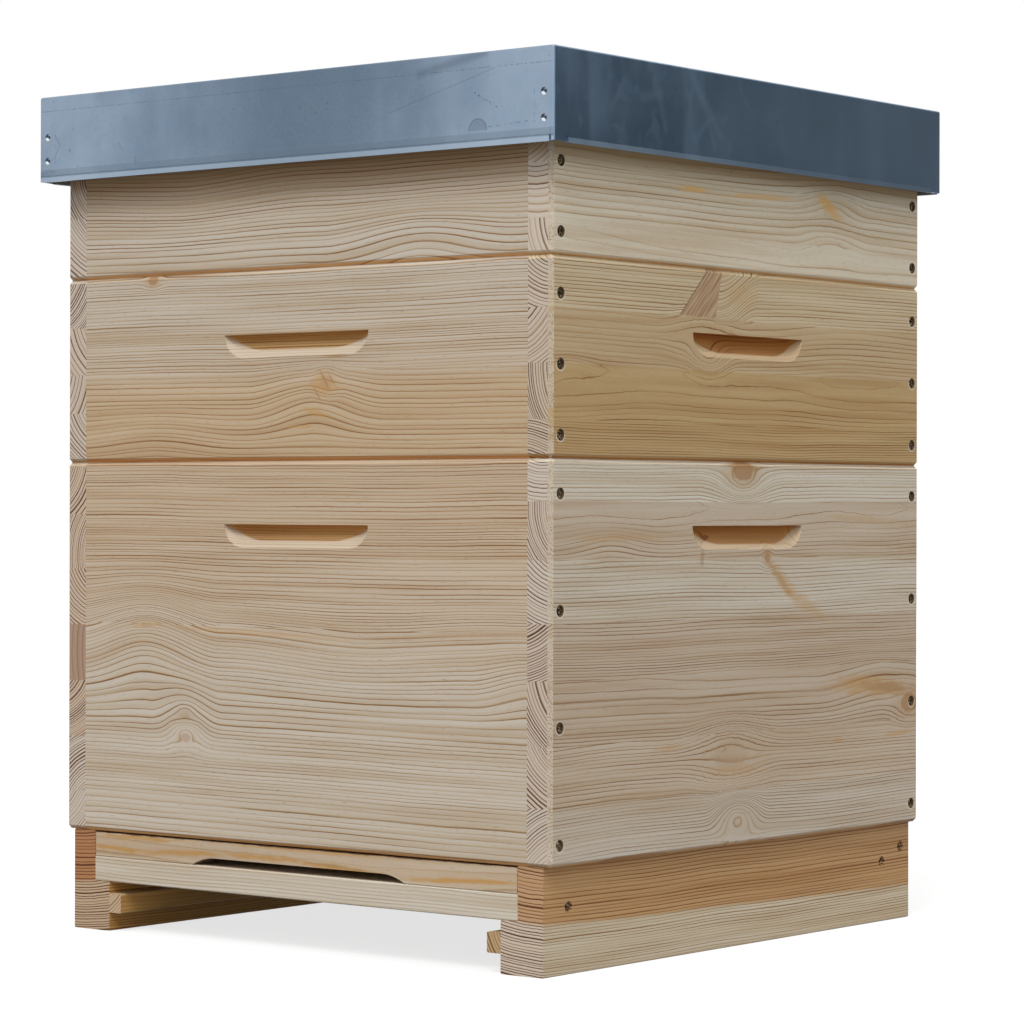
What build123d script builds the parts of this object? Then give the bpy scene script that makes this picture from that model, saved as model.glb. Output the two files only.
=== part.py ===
from build123d import *
import os

# Twelve-frame beehive: screened floor, brood box, honey super, cover box and sheet-metal roof.
# Millimetres. The entrance faces -Y, +X is the hive's right side, +Z is up.
# The origin is on the ground, under the middle of the hive.

# Hive boxes, shared by the brood box, the honey super and the cover box
HIVE_WIDTH = 504.0
HIVE_DEPTH = 504.0
BOARD = 22.0
EDGE_CHAMFER = 3.0
BROOD_HEIGHT = 300.0
SUPER_HEIGHT = 149.0
COVER_HEIGHT = 149.0

# Hand holds, milled by a slanted cutter: deepest under their straight top edge, with round ends
HOLD_DROP = 50.0
HOLD_FLAT = 110.0
HOLD_END = 20.0
HOLD_HEIGHT = 18.5
HOLD_DEPTH = 11.0

# Countersunk wood screws
SCREW_HEAD_RADIUS = 4.2
SCREW_HEAD_HEIGHT = 3.0
SCREW_SHANK_RADIUS = 2.2
SCREW_LENGTH = 55.0
SCREW_TIP = 6.0
SCREW_TIP_RADIUS = 0.55
SCREW_SINK = 2.4
SCREW_CLEARANCE = 0.15
RECESS_LENGTH = 4.6
RECESS_WIDTH = 1.1
RECESS_DEPTH = 1.8

# Rows of screws up each corner of a box
BROOD_SCREW_FOOT = 16.0
BROOD_SCREW_PITCH = 86.0
SUPER_SCREW_FOOT = 17.0
SUPER_SCREW_PITCH = 52.0
SCREW_TOP_MARGIN = 20.0

# Frames that hang from front to back
FRAME_PITCH = 37.0
FRAME_END_SPACE = 6.0
FRAME_TOP_SPACE = 7.0
BROOD_FOOT_SPACE = 8.0
SUPER_FOOT_SPACE = 1.0
TOP_BAR_WIDTH = 26.0
TOP_BAR_THICKNESS = 20.0
EAR_LENGTH = 17.0
EAR_THICKNESS = 10.0
EAR_CLEARANCE = 1.0
SIDE_BAR_THICKNESS = 10.0
SIDE_BAR_WIDTH = 26.0
SHOULDER_HEIGHT = 60.0
BOTTOM_BAR_WIDTH = 19.0
BOTTOM_BAR_THICKNESS = 10.0
FOUNDATION_THICKNESS = 2.0

# Floor, of planed wood with its long edges eased
FLOOR_EASE = 0.8
FLOOR_SIDE_INSET = 8.0
FLOOR_END_INSET = 2.0
RAIL_WIDTH = 40.0
RAIL_FOOT_HEIGHT = 40.0
RAIL_LEDGE = 16.0
SILL_HEIGHT = 20.0
SILL_DEPTH = 60.0
REAR_BATTEN_DEPTH = 32.0
REAR_BOARD_DEPTH = 26.0
BAR_HEIGHT = 20.0
BAR_DEPTH = 22.0
BAR_TOP_GAP = 1.0
BAR_END_GAP = 0.5
NOTCH_FLAT = 175.0
NOTCH_HEIGHT = 6.4
NOTCH_CUTTER_RADIUS = 48.0
RUNNER_WIDTH = 13.0
RUNNER_HEIGHT = 15.5
TRAY_SLOT = 9.5

# Wire mesh of the floor and its staples
MESH_THICKNESS = 0.9
MESH_EDGE_GAP = 3.0
MESH_GAP = 18.6
MESH_STRAND = 5.8
STAPLE_WIRE = 1.0
STAPLE_CROWN = 8.0
STAPLE_LEG = 6.0
STAPLE_CLEARANCE = 0.1
STAPLE_PITCH = 95.0

# Inner cover, housed in grooves of the cover box, with a turned plug in its feed hole
PANEL_THICKNESS = 8.0
PANEL_RISE = 6.0
GROOVE_DEPTH = 8.0
PANEL_CLEARANCE = 0.5
FEED_HOLE_RADIUS = 40.0
PLUG_CLEARANCE = 0.5
PLUG_FLANGE_LAP = 10.0
PLUG_FLANGE_THICKNESS = 6.0
KNOB_RADIUS = 15.0
KNOB_NECK_RADIUS = 9.0
KNOB_NECK_HEIGHT = 8.0
KNOB_HEAD_HEIGHT = 14.0
KNOB_ROUNDING = 4.5

# Roof, one folded sheet with riveted corners and hemmed skirts, lying loose and a little forward
SHEET = 0.8
ROOF_SIDE_CLEARANCE = 14.3
ROOF_END_CLEARANCE = 12.4
ROOF_FORWARD = 4.0
SKIRT = 70.0
FOLD_INNER_RADIUS = 2.0
HEM_HEIGHT = 5.0
SIDE_HEM_CORNER_GAP = 16.0
END_HEM_CORNER_GAP = 4.0
TAB_WIDTH = 17.0
TAB_MARGIN = 5.0
RIVET_SKIRT_SHARES = (0.475, 0.75)
RIVET_SHANK_RADIUS = 1.6
RIVET_HEAD_RADIUS = 2.9
RIVET_HEAD_HEIGHT = 1.4
RIVET_CLEARANCE = 0.1

# Levels and inner sizes that follow from the sizes above
INNER_WIDTH = HIVE_WIDTH - 2 * BOARD
INNER_DEPTH = HIVE_DEPTH - 2 * BOARD
RAIL_UPPER_HEIGHT = SILL_HEIGHT + BAR_HEIGHT + BAR_TOP_GAP
SILL_TOP = RAIL_FOOT_HEIGHT + SILL_HEIGHT
FLOOR_TOP = RAIL_FOOT_HEIGHT + RAIL_UPPER_HEIGHT
BROOD_TOP = FLOOR_TOP + BROOD_HEIGHT
SUPER_TOP = BROOD_TOP + SUPER_HEIGHT
COVER_TOP = SUPER_TOP + COVER_HEIGHT
FLOOR_HALF_WIDTH = HIVE_WIDTH / 2 - FLOOR_SIDE_INSET
FLOOR_HALF_DEPTH = HIVE_DEPTH / 2 - FLOOR_END_INSET
RAIL_INNER_X = FLOOR_HALF_WIDTH - RAIL_WIDTH
UPPER_INNER_X = RAIL_INNER_X + RAIL_LEDGE
MESH_LAP = RAIL_LEDGE - MESH_EDGE_GAP
SILL_BACK_Y = SILL_DEPTH - FLOOR_HALF_DEPTH
REAR_BOARD_Y = FLOOR_HALF_DEPTH - REAR_BOARD_DEPTH
REAR_BATTEN_Y = REAR_BOARD_Y - REAR_BATTEN_DEPTH
FRAME_HALF_LENGTH = INNER_DEPTH / 2 - FRAME_END_SPACE
FRAME_COUNT = int(INNER_WIDTH // FRAME_PITCH)
REBATE_HEIGHT = FRAME_TOP_SPACE + EAR_THICKNESS
REBATE_END_Y = FRAME_HALF_LENGTH + EAR_LENGTH + EAR_CLEARANCE
ROOF_HALF_WIDTH = HIVE_WIDTH / 2 + ROOF_SIDE_CLEARANCE + SHEET
ROOF_HALF_DEPTH = HIVE_DEPTH / 2 + ROOF_END_CLEARANCE + SHEET
ROOF_TOP = COVER_TOP + SHEET
RIVET_X = ROOF_HALF_WIDTH - SHEET - TAB_WIDTH / 2
RIVET_DROPS = [share * SKIRT for share in RIVET_SKIRT_SHARES]
RIVET_GRIP = 2 * SHEET
SIDES = (-1, 1)


def block(x_range, y_range, z_range):
    """A straight-edged block between two corners."""
    sizes = [abs(high - low) for low, high in (x_range, y_range, z_range)]
    middle = [(low + high) / 2 for low, high in (x_range, y_range, z_range)]
    return Pos(*middle) * Box(*sizes)


def mirrored_range(side, inner, outer):
    """The stretch from inner to outer on the side of +1 or -1."""
    return (side * inner, side * outer)


def write(name, *pieces):
    """Writes one node, which is one solid or a group of like solids."""
    shape = pieces[0] if len(pieces) == 1 else Compound(list(pieces))
    export_step(shape, f"parts/{name}.step")


def upright_cylinder(radius, bottom, top):
    """A cylinder about the Z axis, between two heights."""
    return Pos(0, 0, (bottom + top) / 2) * Cylinder(radius, top - bottom)


def upright_cone(bottom_radius, top_radius, bottom, top):
    """A cone about the Z axis, between two heights."""
    return Pos(0, 0, (bottom + top) / 2) * Cone(bottom_radius, top_radius, top - bottom)


def wood_screw():
    """A countersunk screw that points down, with the wood's face at Z = 0."""
    head_top = -SCREW_SINK
    neck = head_top - SCREW_HEAD_HEIGHT
    tip_start = SCREW_TIP - SCREW_LENGTH
    head = upright_cone(SCREW_SHANK_RADIUS, SCREW_HEAD_RADIUS, neck, head_top)
    shank = upright_cylinder(SCREW_SHANK_RADIUS, tip_start, neck)
    tip = upright_cone(SCREW_TIP_RADIUS, SCREW_SHANK_RADIUS, -SCREW_LENGTH, tip_start)
    slots = [
        Pos(0, 0, head_top) * Box(RECESS_LENGTH, RECESS_WIDTH, 2 * RECESS_DEPTH),
        Pos(0, 0, head_top) * Box(RECESS_WIDTH, RECESS_LENGTH, 2 * RECESS_DEPTH),
    ]
    return head + shank + tip - slots


def screw_hole():
    """The sunk hole for a wood screw, a clearance wider and deeper than it."""
    head_top = -SCREW_SINK
    neck = head_top - SCREW_HEAD_HEIGHT
    wide = SCREW_HEAD_RADIUS + SCREW_CLEARANCE
    narrow = SCREW_SHANK_RADIUS + SCREW_CLEARANCE
    mouth = upright_cylinder(wide, head_top, SCREW_SINK)
    seat = upright_cone(narrow, wide, neck, head_top)
    bore = upright_cylinder(narrow, -SCREW_LENGTH - SCREW_CLEARANCE, neck)
    return mouth + seat + bore


def placed(shape, side, face_x, y, z):
    """Turns a screw or its hole to go in from the hive's left or right side."""
    return Pos(side * face_x, y, z) * Rotation(0, 90 * side, 0) * shape


def side_places(face_x, spots):
    """Both sides' places for the screws at the given Y and Z spots."""
    return [(side, face_x, y, z) for side in SIDES for y, z in spots]


def hand_hold(facing, face_distance, top_z):
    """The pocket of a hand hold, turned to face -Y (0), +X (90), +Y (180) or -X (270)."""
    plan = Rectangle(HOLD_FLAT, 2 * HOLD_DEPTH)
    for end in SIDES:
        plan += Pos(end * HOLD_FLAT / 2, 0) * Ellipse(HOLD_END, HOLD_DEPTH)
    slant = Vector(0, -HOLD_DEPTH, -HOLD_HEIGHT)
    pocket = extrude(plan, amount=2 * slant.length, dir=slant.normalized())
    return Rotation(0, 0, facing) * Pos(0, -face_distance, top_z) * pocket


def box_boards(bottom, height):
    """The four boards of a box, butted at the corners, with all outer edges chamfered."""
    half_width = HIVE_WIDTH / 2
    half_depth = HIVE_DEPTH / 2
    levels = (bottom, bottom + height)
    outside = block((-half_width, half_width), (-half_depth, half_depth), levels)
    outside = chamfer(outside.edges(), EDGE_CHAMFER)
    boards = {}
    for word, side in (("left", -1), ("right", 1)):
        reach = mirrored_range(side, INNER_WIDTH / 2, half_width)
        boards[word] = outside & block(reach, (-half_depth, half_depth), levels)
    for word, side in (("front", -1), ("back", 1)):
        reach = mirrored_range(side, INNER_DEPTH / 2, half_depth)
        boards[word] = outside & block((-INNER_WIDTH / 2, INNER_WIDTH / 2), reach, levels)
    return boards


def corner_screw_spots(bottom, height, foot, pitch):
    """Y and Z of the screws on one side: a row up each corner, in the middle of the board behind."""
    rows = 1 + int((height - foot - SCREW_TOP_MARGIN) // pitch)
    across = HIVE_DEPTH / 2 - BOARD / 2
    return [(end * across, bottom + foot + row * pitch) for end in SIDES for row in range(rows)]


def cut_frame_rebates(boards, top):
    """Cuts the ledges that carry the frames into the front and back boards."""
    levels = (top - REBATE_HEIGHT, top)
    for word, side in (("front", -1), ("back", 1)):
        reach = mirrored_range(side, INNER_DEPTH / 2, REBATE_END_Y)
        boards[word] -= block((-INNER_WIDTH / 2, INNER_WIDTH / 2), reach, levels)


def cut_hand_holds(boards, top):
    """Mills a hand hold into the outside of each board."""
    top_z = top - HOLD_DROP
    half_width = HIVE_WIDTH / 2
    half_depth = HIVE_DEPTH / 2
    turns = {
        "front": (0, half_depth),
        "right": (90, half_width),
        "back": (180, half_depth),
        "left": (270, half_width),
    }
    for word, (facing, distance) in turns.items():
        boards[word] -= hand_hold(facing, distance, top_z)


def write_box(name, boards, spots):
    """Bores the boards of a box for its screws and writes both."""
    places = side_places(HIVE_WIDTH / 2, spots)
    holes = [placed(screw_hole(), *place) for place in places]
    for word, board in boards.items():
        write(f"{name}_{word}", board - holes)
    write(f"{name}_screws", *[placed(wood_screw(), *place) for place in places])


def frame_bars(x, top, height):
    """The four bars of one frame, which hangs by the ears of its top bar."""
    bar = (x - TOP_BAR_WIDTH / 2, x + TOP_BAR_WIDTH / 2)
    side_bar = (x - SIDE_BAR_WIDTH / 2, x + SIDE_BAR_WIDTH / 2)
    shoulder = (x - FRAME_PITCH / 2, x + FRAME_PITCH / 2)
    foot_bar = (x - BOTTOM_BAR_WIDTH / 2, x + BOTTOM_BAR_WIDTH / 2)
    ear_end = FRAME_HALF_LENGTH + EAR_LENGTH
    inner = FRAME_HALF_LENGTH - SIDE_BAR_THICKNESS
    ear_level = top - EAR_THICKNESS
    foot = top - height
    top_bar = block(bar, (-ear_end, ear_end), (ear_level, top))
    top_bar += block(bar, (-inner, inner), (top - TOP_BAR_THICKNESS, ear_level))
    bars = [top_bar, block(foot_bar, (-inner, inner), (foot, foot + BOTTOM_BAR_THICKNESS))]
    for side in SIDES:
        reach = mirrored_range(side, inner, FRAME_HALF_LENGTH)
        upright = block(side_bar, reach, (foot, ear_level))
        bars.append(upright + block(shoulder, reach, (ear_level - SHOULDER_HEIGHT, ear_level)))
    return bars


def foundation(x, top, height):
    """The wax sheet that fills one frame."""
    half = FOUNDATION_THICKNESS / 2
    inner = FRAME_HALF_LENGTH - SIDE_BAR_THICKNESS
    levels = (top - height + BOTTOM_BAR_THICKNESS, top - TOP_BAR_THICKNESS)
    return block((x - half, x + half), (-inner, inner), levels)


def write_frames(name, box_top, box_height, foot_space):
    """Writes each frame of a box, and its wax sheets as one group."""
    top = box_top - FRAME_TOP_SPACE
    height = box_height - FRAME_TOP_SPACE - foot_space
    middles = [(number - (FRAME_COUNT - 1) / 2) * FRAME_PITCH for number in range(FRAME_COUNT)]
    for number, x in enumerate(middles, start=1):
        write(f"{name}_frame_{number:02d}", *frame_bars(x, top, height))
    write(f"{name}_foundations", *[foundation(x, top, height) for x in middles])


def planed(shape, length_axis):
    """Eases the long edges of a planed piece."""
    return chamfer(shape.edges().filter_by(length_axis), FLOOR_EASE)


def rail(side):
    """A side rail of the floor, stepped inside: a wide foot and a narrower upper part."""
    length = (-FLOOR_HALF_DEPTH, FLOOR_HALF_DEPTH)
    foot = block(mirrored_range(side, RAIL_INNER_X, FLOOR_HALF_WIDTH), length, (0, RAIL_FOOT_HEIGHT))
    upper_reach = mirrored_range(side, UPPER_INNER_X, FLOOR_HALF_WIDTH)
    shape = foot + block(upper_reach, length, (RAIL_FOOT_HEIGHT, FLOOR_TOP))
    step_corner = (side * UPPER_INNER_X, 0, RAIL_FOOT_HEIGHT)
    long_edges = shape.edges().filter_by(Axis.Y).sort_by_distance(step_corner)
    return chamfer(long_edges[1:], FLOOR_EASE)


def entrance_bar():
    """The loose bar that narrows the entrance to the notch in its lower edge."""
    reach = UPPER_INNER_X - BAR_END_GAP
    levels = (SILL_TOP, SILL_TOP + BAR_HEIGHT)
    bar = block((-reach, reach), (-FLOOR_HALF_DEPTH, BAR_DEPTH - FLOOR_HALF_DEPTH), levels)
    bar = planed(bar, Axis.X)
    outline = SlotCenterToCenter(NOTCH_FLAT, 2 * NOTCH_CUTTER_RADIUS)
    cutter = Rotation(90, 0, 0) * extrude(outline, amount=BAR_DEPTH, both=True)
    notch_axis = SILL_TOP + NOTCH_HEIGHT - NOTCH_CUTTER_RADIUS
    return bar - Pos(0, -FLOOR_HALF_DEPTH, notch_axis) * cutter


def spread(low, high, pitch):
    """Even places between two ends, about a pitch apart."""
    count = max(2, round((high - low) / pitch))
    step = (high - low) / count
    return [low + step * (number + 0.5) for number in range(count)]


def staple_places():
    """X, Y and turn of the staples round the mesh, halfway across its lap on the battens."""
    half_lap = MESH_LAP / 2
    places = []
    for x in spread(-RAIL_INNER_X, RAIL_INNER_X, STAPLE_PITCH):
        places.append((x, SILL_BACK_Y - half_lap, 0))
        places.append((x, REAR_BATTEN_Y + half_lap, 0))
    for y in spread(SILL_BACK_Y, REAR_BATTEN_Y, STAPLE_PITCH):
        for side in SIDES:
            places.append((side * (RAIL_INNER_X + half_lap), y, 90))
    return places


def staple():
    """A wire staple with its crown on the mesh and its legs down in the batten."""
    half_wire = STAPLE_WIRE / 2
    half_crown = STAPLE_CROWN / 2
    crown_levels = (SILL_TOP + MESH_THICKNESS, SILL_TOP + MESH_THICKNESS + STAPLE_WIRE)
    shape = block((-half_crown, half_crown), (-half_wire, half_wire), crown_levels)
    for side in SIDES:
        reach = mirrored_range(side, half_crown - STAPLE_WIRE, half_crown)
        shape += block(reach, (-half_wire, half_wire), (SILL_TOP - STAPLE_LEG, crown_levels[0]))
    return shape


def staple_slots():
    """The two holes that a staple's legs make in the mesh and the wood."""
    half_slot = STAPLE_WIRE / 2 + STAPLE_CLEARANCE
    half_crown = STAPLE_CROWN / 2
    levels = (SILL_TOP - STAPLE_LEG - STAPLE_CLEARANCE, SILL_TOP + MESH_THICKNESS)
    slots = []
    for side in SIDES:
        inner = half_crown - STAPLE_WIRE - STAPLE_CLEARANCE
        reach = mirrored_range(side, inner, half_crown + STAPLE_CLEARANCE)
        slots.append(block(reach, (-half_slot, half_slot), levels))
    return slots


def mesh_net(width, depth):
    """A flat net with square gaps inside a plain edge as wide as its lap."""
    step = MESH_GAP + MESH_STRAND
    open_width = width - 2 * MESH_LAP
    open_depth = depth - 2 * MESH_LAP
    columns = int((open_width - MESH_STRAND) // step)
    rows = int((open_depth - MESH_STRAND) // step)
    gap_width = (open_width + MESH_STRAND) / columns - MESH_STRAND
    gap_depth = (open_depth + MESH_STRAND) / rows - MESH_STRAND
    gaps = GridLocations(gap_width + MESH_STRAND, gap_depth + MESH_STRAND, columns, rows)
    face = Rectangle(width, depth) - [place * Rectangle(gap_width, gap_depth) for place in gaps]
    print("mesh gaps", columns * rows)
    return extrude(face, MESH_THICKNESS)


def write_floor():
    """Writes the floor: rails, cross pieces, mesh, runners, screws and the entrance bar."""
    inner = (-UPPER_INNER_X, UPPER_INNER_X)
    levels = (RAIL_FOOT_HEIGHT, SILL_TOP)
    board_levels = (RAIL_FOOT_HEIGHT, FLOOR_TOP)
    wood = {
        "rail_left": rail(-1),
        "rail_right": rail(1),
        "front_sill": planed(block(inner, (-FLOOR_HALF_DEPTH, SILL_BACK_Y), levels), Axis.X),
        "rear_batten": block(inner, (REAR_BATTEN_Y, REAR_BOARD_Y), levels),
        "rear_board": planed(block(inner, (REAR_BOARD_Y, FLOOR_HALF_DEPTH), board_levels), Axis.X),
    }
    runner_top = RAIL_FOOT_HEIGHT - TRAY_SLOT
    runner_levels = (runner_top - RUNNER_HEIGHT, runner_top)
    for word, side in (("left", -1), ("right", 1)):
        ledge = mirrored_range(side, RAIL_INNER_X, UPPER_INNER_X)
        wood[f"side_batten_{word}"] = block(ledge, (SILL_BACK_Y, REAR_BATTEN_Y), levels)
        beside_rail = mirrored_range(side, RAIL_INNER_X - RUNNER_WIDTH, RAIL_INNER_X)
        length = (-FLOOR_HALF_DEPTH, FLOOR_HALF_DEPTH)
        write(f"tray_runner_{word}", planed(block(beside_rail, length, runner_levels), Axis.Y))

    mesh_width = 2 * (RAIL_INNER_X + MESH_LAP)
    mesh_depth = REAR_BATTEN_Y - SILL_BACK_Y + 2 * MESH_LAP
    mesh_middle = (REAR_BATTEN_Y + SILL_BACK_Y) / 2
    mesh = Pos(0, mesh_middle, SILL_TOP) * mesh_net(mesh_width, mesh_depth)
    turned = [Pos(x, y, 0) * Rotation(0, 0, turn) for x, y, turn in staple_places()]
    slots = [place * slot for place in turned for slot in staple_slots()]
    write("floor_mesh", mesh - slots)
    write("mesh_staples", *[place * staple() for place in turned])

    batten_middle = RAIL_FOOT_HEIGHT + SILL_HEIGHT / 2
    board_middle = RAIL_FOOT_HEIGHT + RAIL_UPPER_HEIGHT / 2
    spots = [
        (SILL_DEPTH / 2 - FLOOR_HALF_DEPTH, batten_middle),
        (REAR_BATTEN_Y + REAR_BATTEN_DEPTH / 2, batten_middle),
        (REAR_BOARD_Y + REAR_BOARD_DEPTH / 2, board_middle),
    ]
    places = side_places(FLOOR_HALF_WIDTH, spots)
    bores = [placed(screw_hole(), *place) for place in places]
    for name, shape in wood.items():
        write(name, shape - bores - slots)
    write("floor_screws", *[placed(wood_screw(), *place) for place in places])
    write("entrance_bar", entrance_bar())


def feed_plug(seat):
    """The turned plug of the feed hole: a disc in the hole, a flange on the panel and a knob."""
    flange_top = seat + PLUG_FLANGE_THICKNESS
    neck_top = flange_top + KNOB_NECK_HEIGHT
    disc = upright_cylinder(FEED_HOLE_RADIUS - PLUG_CLEARANCE, seat - PANEL_THICKNESS, seat)
    flange = upright_cylinder(FEED_HOLE_RADIUS + PLUG_FLANGE_LAP, seat, flange_top)
    neck = upright_cylinder(KNOB_NECK_RADIUS, flange_top, neck_top)
    head = upright_cylinder(KNOB_RADIUS, neck_top, neck_top + KNOB_HEAD_HEIGHT)
    head = fillet(head.edges().filter_by(GeomType.CIRCLE), KNOB_ROUNDING)
    return disc + flange + neck + head


def write_cover_box():
    """Writes the cover box, its inner cover panel and the feed plug."""
    boards = box_boards(SUPER_TOP, COVER_HEIGHT)
    panel_levels = (SUPER_TOP + PANEL_RISE, SUPER_TOP + PANEL_RISE + PANEL_THICKNESS)
    groove_x = INNER_WIDTH / 2 + GROOVE_DEPTH
    groove_y = INNER_DEPTH / 2 + GROOVE_DEPTH
    groove = block((-groove_x, groove_x), (-groove_y, groove_y), panel_levels)
    for word in boards:
        boards[word] -= groove
    panel_x = groove_x - PANEL_CLEARANCE
    panel_y = groove_y - PANEL_CLEARANCE
    panel = block((-panel_x, panel_x), (-panel_y, panel_y), panel_levels)
    write("inner_cover", panel - upright_cylinder(FEED_HOLE_RADIUS, *panel_levels))
    write("feed_plug", feed_plug(panel_levels[1]))
    spots = corner_screw_spots(SUPER_TOP, COVER_HEIGHT, SUPER_SCREW_FOOT, SUPER_SCREW_PITCH)
    write_box("cover", boards, spots)


def rivet():
    """A dome-headed rivet that points along +Y, with the sheet's outer face at Y = 0."""
    sphere_radius = (RIVET_HEAD_RADIUS**2 + RIVET_HEAD_HEIGHT**2) / (2 * RIVET_HEAD_HEIGHT)
    dome = Pos(0, 0, RIVET_HEAD_HEIGHT - sphere_radius) * Sphere(sphere_radius)
    dome &= upright_cylinder(RIVET_HEAD_RADIUS, 0, RIVET_HEAD_HEIGHT)
    shank = upright_cylinder(RIVET_SHANK_RADIUS, -RIVET_GRIP, 0)
    upset = upright_cylinder(RIVET_HEAD_RADIUS, -RIVET_GRIP - RIVET_HEAD_HEIGHT, -RIVET_GRIP)
    return Rotation(90, 0, 0) * (dome + shank + upset)


def rivet_bore():
    """The hole for a rivet through the skirt and its tab."""
    radius = RIVET_SHANK_RADIUS + RIVET_CLEARANCE
    return Rotation(90, 0, 0) * upright_cylinder(radius, -RIVET_GRIP - RIVET_CLEARANCE, RIVET_CLEARANCE)


def rivet_places():
    """Places of the rivets, two at each corner of the front and back skirts."""
    places = []
    for turn in (0, 180):
        for side in SIDES:
            for drop in RIVET_DROPS:
                spot = Pos(side * RIVET_X, -ROOF_HALF_DEPTH, ROOF_TOP - drop)
                places.append(Rotation(0, 0, turn) * spot)
    return places


def folded_cap(half_width, half_depth, top, radius):
    """A block as deep as the skirt, with its upper and corner edges rounded."""
    shape = block((-half_width, half_width), (-half_depth, half_depth), (ROOF_TOP - SKIRT, top))
    foot_edges = shape.edges().group_by(Axis.Z)[0]
    return fillet([edge for edge in shape.edges() if edge not in foot_edges], radius)


def roof_sheet():
    """The roof: top, four skirts with a hem folded outward, and corner tabs behind the rivets."""
    sheet = folded_cap(ROOF_HALF_WIDTH, ROOF_HALF_DEPTH, ROOF_TOP, FOLD_INNER_RADIUS + SHEET)
    inner_x = ROOF_HALF_WIDTH - SHEET
    inner_y = ROOF_HALF_DEPTH - SHEET
    sheet -= folded_cap(inner_x, inner_y, COVER_TOP, FOLD_INNER_RADIUS)
    foot = ROOF_TOP - SKIRT
    hem_levels = (foot, foot + HEM_HEIGHT)
    hem_x = ROOF_HALF_WIDTH - END_HEM_CORNER_GAP
    hem_y = ROOF_HALF_DEPTH - SIDE_HEM_CORNER_GAP
    tab_levels = (ROOF_TOP - RIVET_DROPS[-1] - TAB_MARGIN, ROOF_TOP - RIVET_DROPS[0] + TAB_MARGIN)
    for side in SIDES:
        front_hem = mirrored_range(side, ROOF_HALF_DEPTH, ROOF_HALF_DEPTH + SHEET)
        sheet += block((-hem_x, hem_x), front_hem, hem_levels)
        side_hem = mirrored_range(side, ROOF_HALF_WIDTH, ROOF_HALF_WIDTH + SHEET)
        sheet += block(side_hem, (-hem_y, hem_y), hem_levels)
        tab_reach = mirrored_range(side, inner_y - SHEET, inner_y)
        for end in SIDES:
            sheet += block(mirrored_range(end, inner_x - TAB_WIDTH, inner_x), tab_reach, tab_levels)
    return sheet - [place * rivet_bore() for place in rivet_places()]


os.makedirs("parts", exist_ok=True)

write_floor()

brood = box_boards(FLOOR_TOP, BROOD_HEIGHT)
brood_spots = corner_screw_spots(FLOOR_TOP, BROOD_HEIGHT, BROOD_SCREW_FOOT, BROOD_SCREW_PITCH)
cut_frame_rebates(brood, BROOD_TOP)
cut_hand_holds(brood, BROOD_TOP)
write_box("brood", brood, brood_spots)
write_frames("brood", BROOD_TOP, BROOD_HEIGHT, BROOD_FOOT_SPACE)

honey_super = box_boards(BROOD_TOP, SUPER_HEIGHT)
super_spots = corner_screw_spots(BROOD_TOP, SUPER_HEIGHT, SUPER_SCREW_FOOT, SUPER_SCREW_PITCH)
cut_frame_rebates(honey_super, SUPER_TOP)
cut_hand_holds(honey_super, SUPER_TOP)
write_box("super", honey_super, super_spots)
write_frames("super", SUPER_TOP, SUPER_HEIGHT, SUPER_FOOT_SPACE)

write_cover_box()

roof_place = Pos(0, -ROOF_FORWARD, 0)
write("roof_sheet", roof_place * roof_sheet())
write("roof_rivets", *[roof_place * place * rivet() for place in rivet_places()])
print("frames in each box", FRAME_COUNT)
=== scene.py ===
# %% Load the CAD parts
import math
import random

import bmesh
import bpy
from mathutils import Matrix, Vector


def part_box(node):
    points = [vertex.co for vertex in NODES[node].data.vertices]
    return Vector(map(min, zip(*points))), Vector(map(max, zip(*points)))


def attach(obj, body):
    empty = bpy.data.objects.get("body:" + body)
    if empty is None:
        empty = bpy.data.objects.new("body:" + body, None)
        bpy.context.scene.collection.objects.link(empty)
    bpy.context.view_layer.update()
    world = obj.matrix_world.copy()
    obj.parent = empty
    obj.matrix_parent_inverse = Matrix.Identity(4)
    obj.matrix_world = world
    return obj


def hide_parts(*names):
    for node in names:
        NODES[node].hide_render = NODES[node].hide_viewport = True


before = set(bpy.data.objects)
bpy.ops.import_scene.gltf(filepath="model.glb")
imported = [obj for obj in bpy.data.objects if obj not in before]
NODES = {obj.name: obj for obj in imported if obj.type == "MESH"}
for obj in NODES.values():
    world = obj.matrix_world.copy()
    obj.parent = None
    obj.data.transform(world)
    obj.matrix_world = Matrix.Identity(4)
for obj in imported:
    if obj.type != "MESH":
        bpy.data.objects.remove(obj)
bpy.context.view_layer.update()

bpy.ops.object.select_all(action="DESELECT")
print("CAD pieces loaded:", len(NODES))

# %% [markdown]
# # A pine beehive
# The hive is a stack: a screened floor, a deep brood box, a shallow honey super, a cover box and a
# folded zinc roof. The CAD pieces already have the right shapes, so most of them stay as they are and
# only get a finish. The roof sheet and the floor's wire mesh are modelled again here, because their
# hems, seams and woven wires are too fine for the solids.

# %% [markdown]
# ## Arithmetic for materials
# Wood grain is easiest to write as a formula: how far is this point from the heart of the tree, and
# which growth ring is that? A material is a web of small nodes, one for every plus and times, so the
# formula would drown in wiring. The class below lets a material be written as ordinary arithmetic and
# adds the nodes itself. Images could paint the grain too, but they would stop at the edges of a board.

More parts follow.
